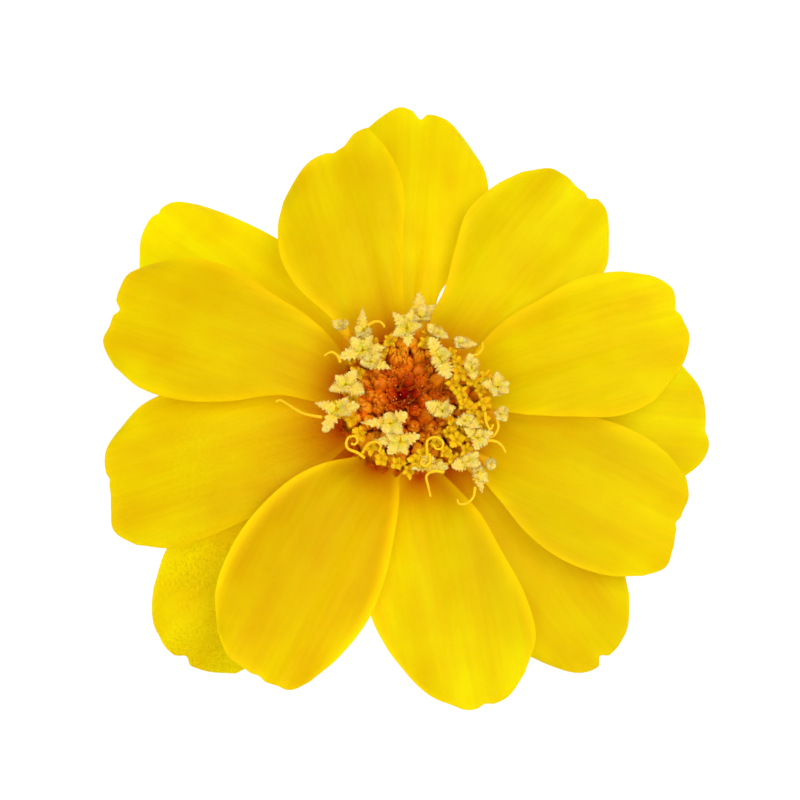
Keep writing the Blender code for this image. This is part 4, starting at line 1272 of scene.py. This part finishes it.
# %% Young florets
# each ring: florets, radius and height in millimetres, seed
YOUNG_RINGS = {"young_florets": (34, 5.9, 13.3, 5), "inner_young_florets": (27, 5.2, 13.4, 11)}
# (radius, height) pairs in millimetres, from the foot to the closed tip
YOUNG_PROFILE = ((0.28, -3.0), (0.3, -1.6), (0.38, -0.6), (0.48, 0.0), (0.46, 0.4), (0.3, 0.66), (0.1, 0.7))
RING_TIP = 0.14

# smooth young skin, soft inside: plain golden knobs
young_gold = surface("young_floret_skin", "#FFAE14", 0.42, grain_mm=0.2, depth_mm=0.4)


def ring_rule(name):
    """A tree that stands the geometry it is given on a level ring."""
    tree, given = new_tree(name, Count=22, Radius=6.1 * MM, Height=13.4 * MM, Seed=1)
    circle = add_node(tree, "GeometryNodeMeshCircle", Vertices=given["Count"], Radius=given["Radius"])
    lift = add_node(tree, "ShaderNodeCombineXYZ", Z=given["Height"])
    ring = add_node(tree, "GeometryNodeSetPosition", Geometry=circle, Offset=lift)
    rotation = tipped_rotation(tree, (0.0, 0.0, 1.0), given["Seed"], RING_TIP)
    return tree, add_node(tree, "GeometryNodeInstanceOnPoints", Points=ring, Instance=given["Geometry"],
                          Rotation=rotation, Scale=random_between(tree, 0.85, 1.15, given["Seed"], 6))


young_rings = []
for name, (count, radius, height, seed) in YOUNG_RINGS.items():
    young = new_piece(name, *turned_form(YOUNG_PROFILE, 15, five_lobes))
    tree, copies = ring_rule(name)
    run_tree(young, tree, copies, young_gold, Count=count, Radius=radius * MM, Height=height * MM, Seed=seed)
    young_rings.append(young)
print("young florets:", [triangles(young) for young in young_rings], "triangles")

# %% [markdown]
# ## Styles
#
# The styles are the thin curled threads that grow out of the florets. A swept tube is the plainest way to
# make a thread. Each was traced as a few points, and a tree turns the traced lines into smooth tubes: a
# spline through the points, sampled evenly, with a circle swept along it.

# %% Styles
STYLES = (
    # traced lines: right, up, height
    ((-8.4, -0.8, 15.6), (-10.3, -0.4, 15.3), (-12.0, 0.6, 15.0), (-12.6, 0.9, 14.9), (-13.0, 0.7, 14.8)),
    ((-6.6, 4.6, 15.8), (-6.9, 5.3, 15.9), (-7.5, 5.65, 15.9), (-8.2, 5.3, 15.7)),
    ((-3.9, 8.3, 15.4), (-3.3, 8.65, 15.6), (-2.7, 8.65, 15.6), (-2.3, 8.3, 15.5), (-2.3, 8.1, 15.5)),
    ((6.2, 5.3, 15.6), (6.9, 5.4, 15.8), (7.4, 5.9, 15.8), (7.45, 6.6, 15.7)),
    ((-4.2, -4.8, 14.8), (-4.9, -4.3, 15.2), (-5.8, -3.9, 15.6), (-6.0, -3.3, 15.8), (-5.7, -2.75, 15.9),
     (-5.1, -2.7, 16.0), (-4.9, -3.15, 16.0), (-5.2, -3.5, 16.0), (-5.5, -3.35, 16.0)),
    ((-4.4, -4.3, 15.0), (-3.9, -3.5, 15.8), (-3.1, -3.2, 16.2), (-2.6, -3.6, 16.2), (-2.8, -4.2, 16.0)),
    ((3.6, -6.2, 15.2), (2.6, -6.1, 15.4), (1.9, -6.6, 15.2), (2.1, -7.7, 14.8), (2.3, -8.6, 14.4)),
    ((6.7, -7.7, 14.2), (6.5, -8.7, 14.3), (5.8, -9.3, 14.4), (5.1, -9.3, 14.4), (4.95, -8.9, 14.4)),
    ((8.0, -3.1, 15.4), (8.8, -3.2, 15.4), (9.4, -3.7, 15.3), (9.7, -4.3, 15.2)),
    ((8.8, -0.8, 15.0), (9.0, -1.7, 15.2), (8.8, -2.3, 15.2), (8.4, -2.8, 15.0)),
    ((7.7, -0.3, 15.4), (7.8, -1.3, 15.5), (8.2, -2.0, 15.5), (8.5, -1.5, 15.5)),
    ((2.1, -5.3, 14.8), (1.95, -4.1, 15.6), (2.0, -3.1, 16.0), (2.8, -2.75, 16.2), (3.5, -3.2, 16.2),
     (3.4, -3.85, 16.1), (2.85, -3.9, 16.0), (2.6, -3.45, 16.0)),
    ((2.2, -4.4, 15.4), (2.25, -5.2, 15.5), (1.8, -5.6, 15.6), (1.35, -5.35, 15.6), (1.5, -4.95, 15.6),
     (1.85, -5.0, 15.6)),
)
STYLE_RADIUS = 0.15
STYLE_STEP = 0.12
STYLE_TAPER = 0.35

traced, edges = [], []
for line in STYLES:
    first = len(traced)
    traced += [seen_place(*spot) for spot in line]
    edges += [(k, k + 1) for k in range(first, len(traced) - 1)]
threads = bpy.data.meshes.new("styles")
threads.from_pydata((np.array(traced) * MM).tolist(), edges, [])
styles = add_object("curled_styles", threads)

tree, given = new_tree("threads", Radius=STYLE_RADIUS * MM, Spacing=STYLE_STEP * MM, Sides=8)
curves = add_node(tree, "GeometryNodeMeshToCurve", given["Geometry"])
splines = add_node(tree, "GeometryNodeCurveSplineType", settings={"spline_type": "CATMULL_ROM"}, Curve=curves)
evenly = add_node(tree, "GeometryNodeResampleCurve", settings={"mode": "LENGTH"}, Curve=splines,
                  Length=given["Spacing"])
circle = add_node(tree, "GeometryNodeCurvePrimitiveCircle", Resolution=given["Sides"], Radius=given["Radius"])
share = add_node(tree, "GeometryNodeSplineParameter").outputs["Factor"]
taper = add_node(tree, "ShaderNodeMath.MULTIPLY_ADD", share, -STYLE_TAPER, 1.1)
swept = add_node(tree, "GeometryNodeCurveToMesh", Curve=evenly, Profile_Curve=circle, Scale=taper,
                 Fill_Caps=True)
# smooth waxy thread: a bright line with a soft highlight
style_gold = surface("glossy_style_thread", "#FFCE20", 0.35, grain_mm=0.1, grain_depth_mm=0.005, depth_mm=0.2)
run_tree(styles, tree, swept, style_gold, Radius=STYLE_RADIUS * MM, Spacing=STYLE_STEP * MM, Sides=8)
print("styles:", len(STYLES), "threads,", triangles(styles), "triangles")

# %% [markdown]
# Chaff stands outside the ring of florets too, low between their tubes and the petals. There it is orange
# and thin enough to let light through. The strip and the ring are both at hand, so this is one more run.

# %% Ring of chaff
RING_CHAFF = dict(Count=64, Radius=6.7 * MM, Height=10.6 * MM, Seed=15)

# dry translucent film: a warm glow where the petals meet the disc
orange_chaff = surface("orange_chaff", "#F08018", 0.5, grain_mm=0.15, through=0.08)
ring_chaff = chaff_scale("ring_chaff")
tree, copies = ring_rule("ring of chaff")
run_tree(ring_chaff, tree, copies, orange_chaff, **RING_CHAFF)
print("ring chaff:", triangles(ring_chaff), "triangles")
for piece in (stars, fuzz, *young_rings, styles, ring_chaff):
    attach(piece, "root")
    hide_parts("open_florets")

# %% [markdown]
# ## Involucre: the green cup
#
# The photograph doesn't show the underside, so it follows what a zinnia has there: a cup of three rows of
# rounded, overlapping scales with a dark, fringed margin, on a cut stub of stem. The scales keep the places
# of the CAD solid but are thin and free at their tips. Their growth value runs to 2 at the margin, where it
# brings the dark colour and the fringe of hairs, by the same rule as on the florets.

# %% Cup, stub and scales
# (radius, height) pairs in millimetres, from the cut end of the stub to the rim of the cup
CUP_PROFILE = ((3.0, 0.0), (2.9, 1.5), (3.6, 2.2), (5.3, 3.2), (6.6, 4.6), (7.1, 6.0), (7.0, 7.2), (6.2, 7.7))
CUP_STEPS = 40
SCALE_ROWS = (
    # scales in the row, height of the root, height of the tip, half width
    (9, 1.9, 4.6, 1.9),
    (12, 2.7, 6.2, 1.9),
    (14, 3.9, 7.5, 1.7),
)
SCALE_COLUMNS = 10
SCALE_STEPS = 14
SCALE_LIFT = 0.5
SCALE_TEAR = 0.12
SCALE_TIP = 0.22
SCALE_ROOT = 0.6
MARGIN_START = (0.72, 0.7)


def cup_radius(height):
    """Radius of the cup and its stub at a height."""
    radii, heights = zip(*CUP_PROFILE)
    return smooth_between(heights, radii, height)


def scale_part(azimuth, root, tip, half_width, draw):
    """One thin scale that follows the cup and stands out towards its fringed tip."""
    across, along = np.meshgrid(np.linspace(-1, 1, SCALE_COLUMNS + 1), np.linspace(0, 1, SCALE_STEPS + 1))
    height = root + (tip - root) * along
    radius = cup_radius(height)
    turn = math.radians(azimuth) + across * half_width * np.sin(math.pi * (0.3 + 0.58 * along)) / radius
    out = radius + 0.05 + SCALE_LIFT * along - 0.25 * across**2 + 0.12 * across
    torn = [[draw.uniform(-SCALE_TEAR, SCALE_TEAR) for _ in range(SCALE_COLUMNS + 1)]
            for _ in range(SCALE_STEPS + 1)]
    height = height - 0.35 * across**2 * along + np.array(torn) * along**8
    inner = out - SCALE_TIP - SCALE_ROOT * (1 - along) ** 2
    faces_out, faces_in = (np.stack([reach * np.cos(turn), reach * np.sin(turn), height], -1)
                           for reach in (out, inner))
    by_tip = np.clip((along - MARGIN_START[0]) / (1 - MARGIN_START[0]), 0, 1)
    by_side = np.clip((np.abs(across) - MARGIN_START[1]) / (1 - MARGIN_START[1]), 0, 1) * along
    margin = 2 * np.maximum(by_tip, by_side)
    faces = [tuple(reversed(face)) for face in slab_faces(SCALE_COLUMNS, SCALE_STEPS)]
    points = np.vstack([faces_out.reshape(-1, 3), faces_in.reshape(-1, 3)])
    return points, faces, list(margin.ravel()) * 2


def scale_colour(tree, place, grain):
    """Green scales that turn brown towards the margin."""
    margin = add_node(tree, "ShaderNodeAttribute", settings={"attribute_name": "growth"}).outputs["Fac"]
    moved = add_node(tree, "ShaderNodeMath.MULTIPLY_ADD", grain, 0.5, margin)
    share = add_node(tree, "ShaderNodeMath.DIVIDE", moved, 2.5)
    return add_node(tree, "ShaderNodeValToRGB", share, stops=(
        (0.0, "#5E7A2C"), (0.3, "#84923A"), (0.55, "#8A6A2A"), (0.8, "#3E2412")))


def stub_colour(tree, place, grain):
    """Green rind with a paler woody ring and pith, seen on the cut."""
    moved = add_node(tree, "ShaderNodeMath.MULTIPLY_ADD", grain, 0.3, distance_from_axis(tree, place))
    share = add_node(tree, "ShaderNodeMath.DIVIDE", moved, 4.0)
    return add_node(tree, "ShaderNodeValToRGB", share, stops=(
        (0.0, "#D9CFA0"), (0.35, "#CFC48C"), (0.42, "#A9A862"), (0.68, "#93A050"), (0.8, "#6C8434"),
        (1.0, "#64803A")))


# cut plant stem: a matte rind round a pale core
rind = surface("stem_rind", stub_colour, 0.6, grain_mm=0.3, grain_depth_mm=0.04)
# firm leathery scale: dull green with a faint sheen
leather = surface("leathery_green_scale", scale_colour, 0.5, grain_mm=0.25)
# dried hairs: a soft brown line along each margin
dry_hair = surface("dry_brown_fringe", "#4A2E16", 0.6)

profile = [(float(cup_radius(h)), float(h)) for h in np.linspace(0, CUP_PROFILE[-1][1], CUP_STEPS)]
cup = new_piece("cup", *turned_form(
    profile, 96, lambda share, angle: (1 + 0.012 * (1 - share) * math.cos(11 * angle), 0)))
cup.data.materials.append(rind)

parts = []
for row, (count, root, tip, half_width) in enumerate(SCALE_ROWS):
    for k in range(count):
        draw = random.Random(500 + 20 * row + k)
        parts.append(scale_part(360 * (k + 0.37 * row) / count, root, tip, half_width, draw))
scales = join_meshes("involucre_scales", parts, "growth")
scales.data.materials.append(leather)

fringe = add_object("scale_fringe", scales.data.copy())
tree, instances = fuzz_rule("fringe")
run_tree(fringe, tree, instances, dry_hair, Density=1.6e7, Length=0.34 * MM, Width=0.03 * MM, Seed=8)
for piece in (cup, scales, fringe):
    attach(piece, "root")
    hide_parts("involucre")
print("cup, scales and fringe triangles:", [triangles(p) for p in (cup, scales, fringe)])
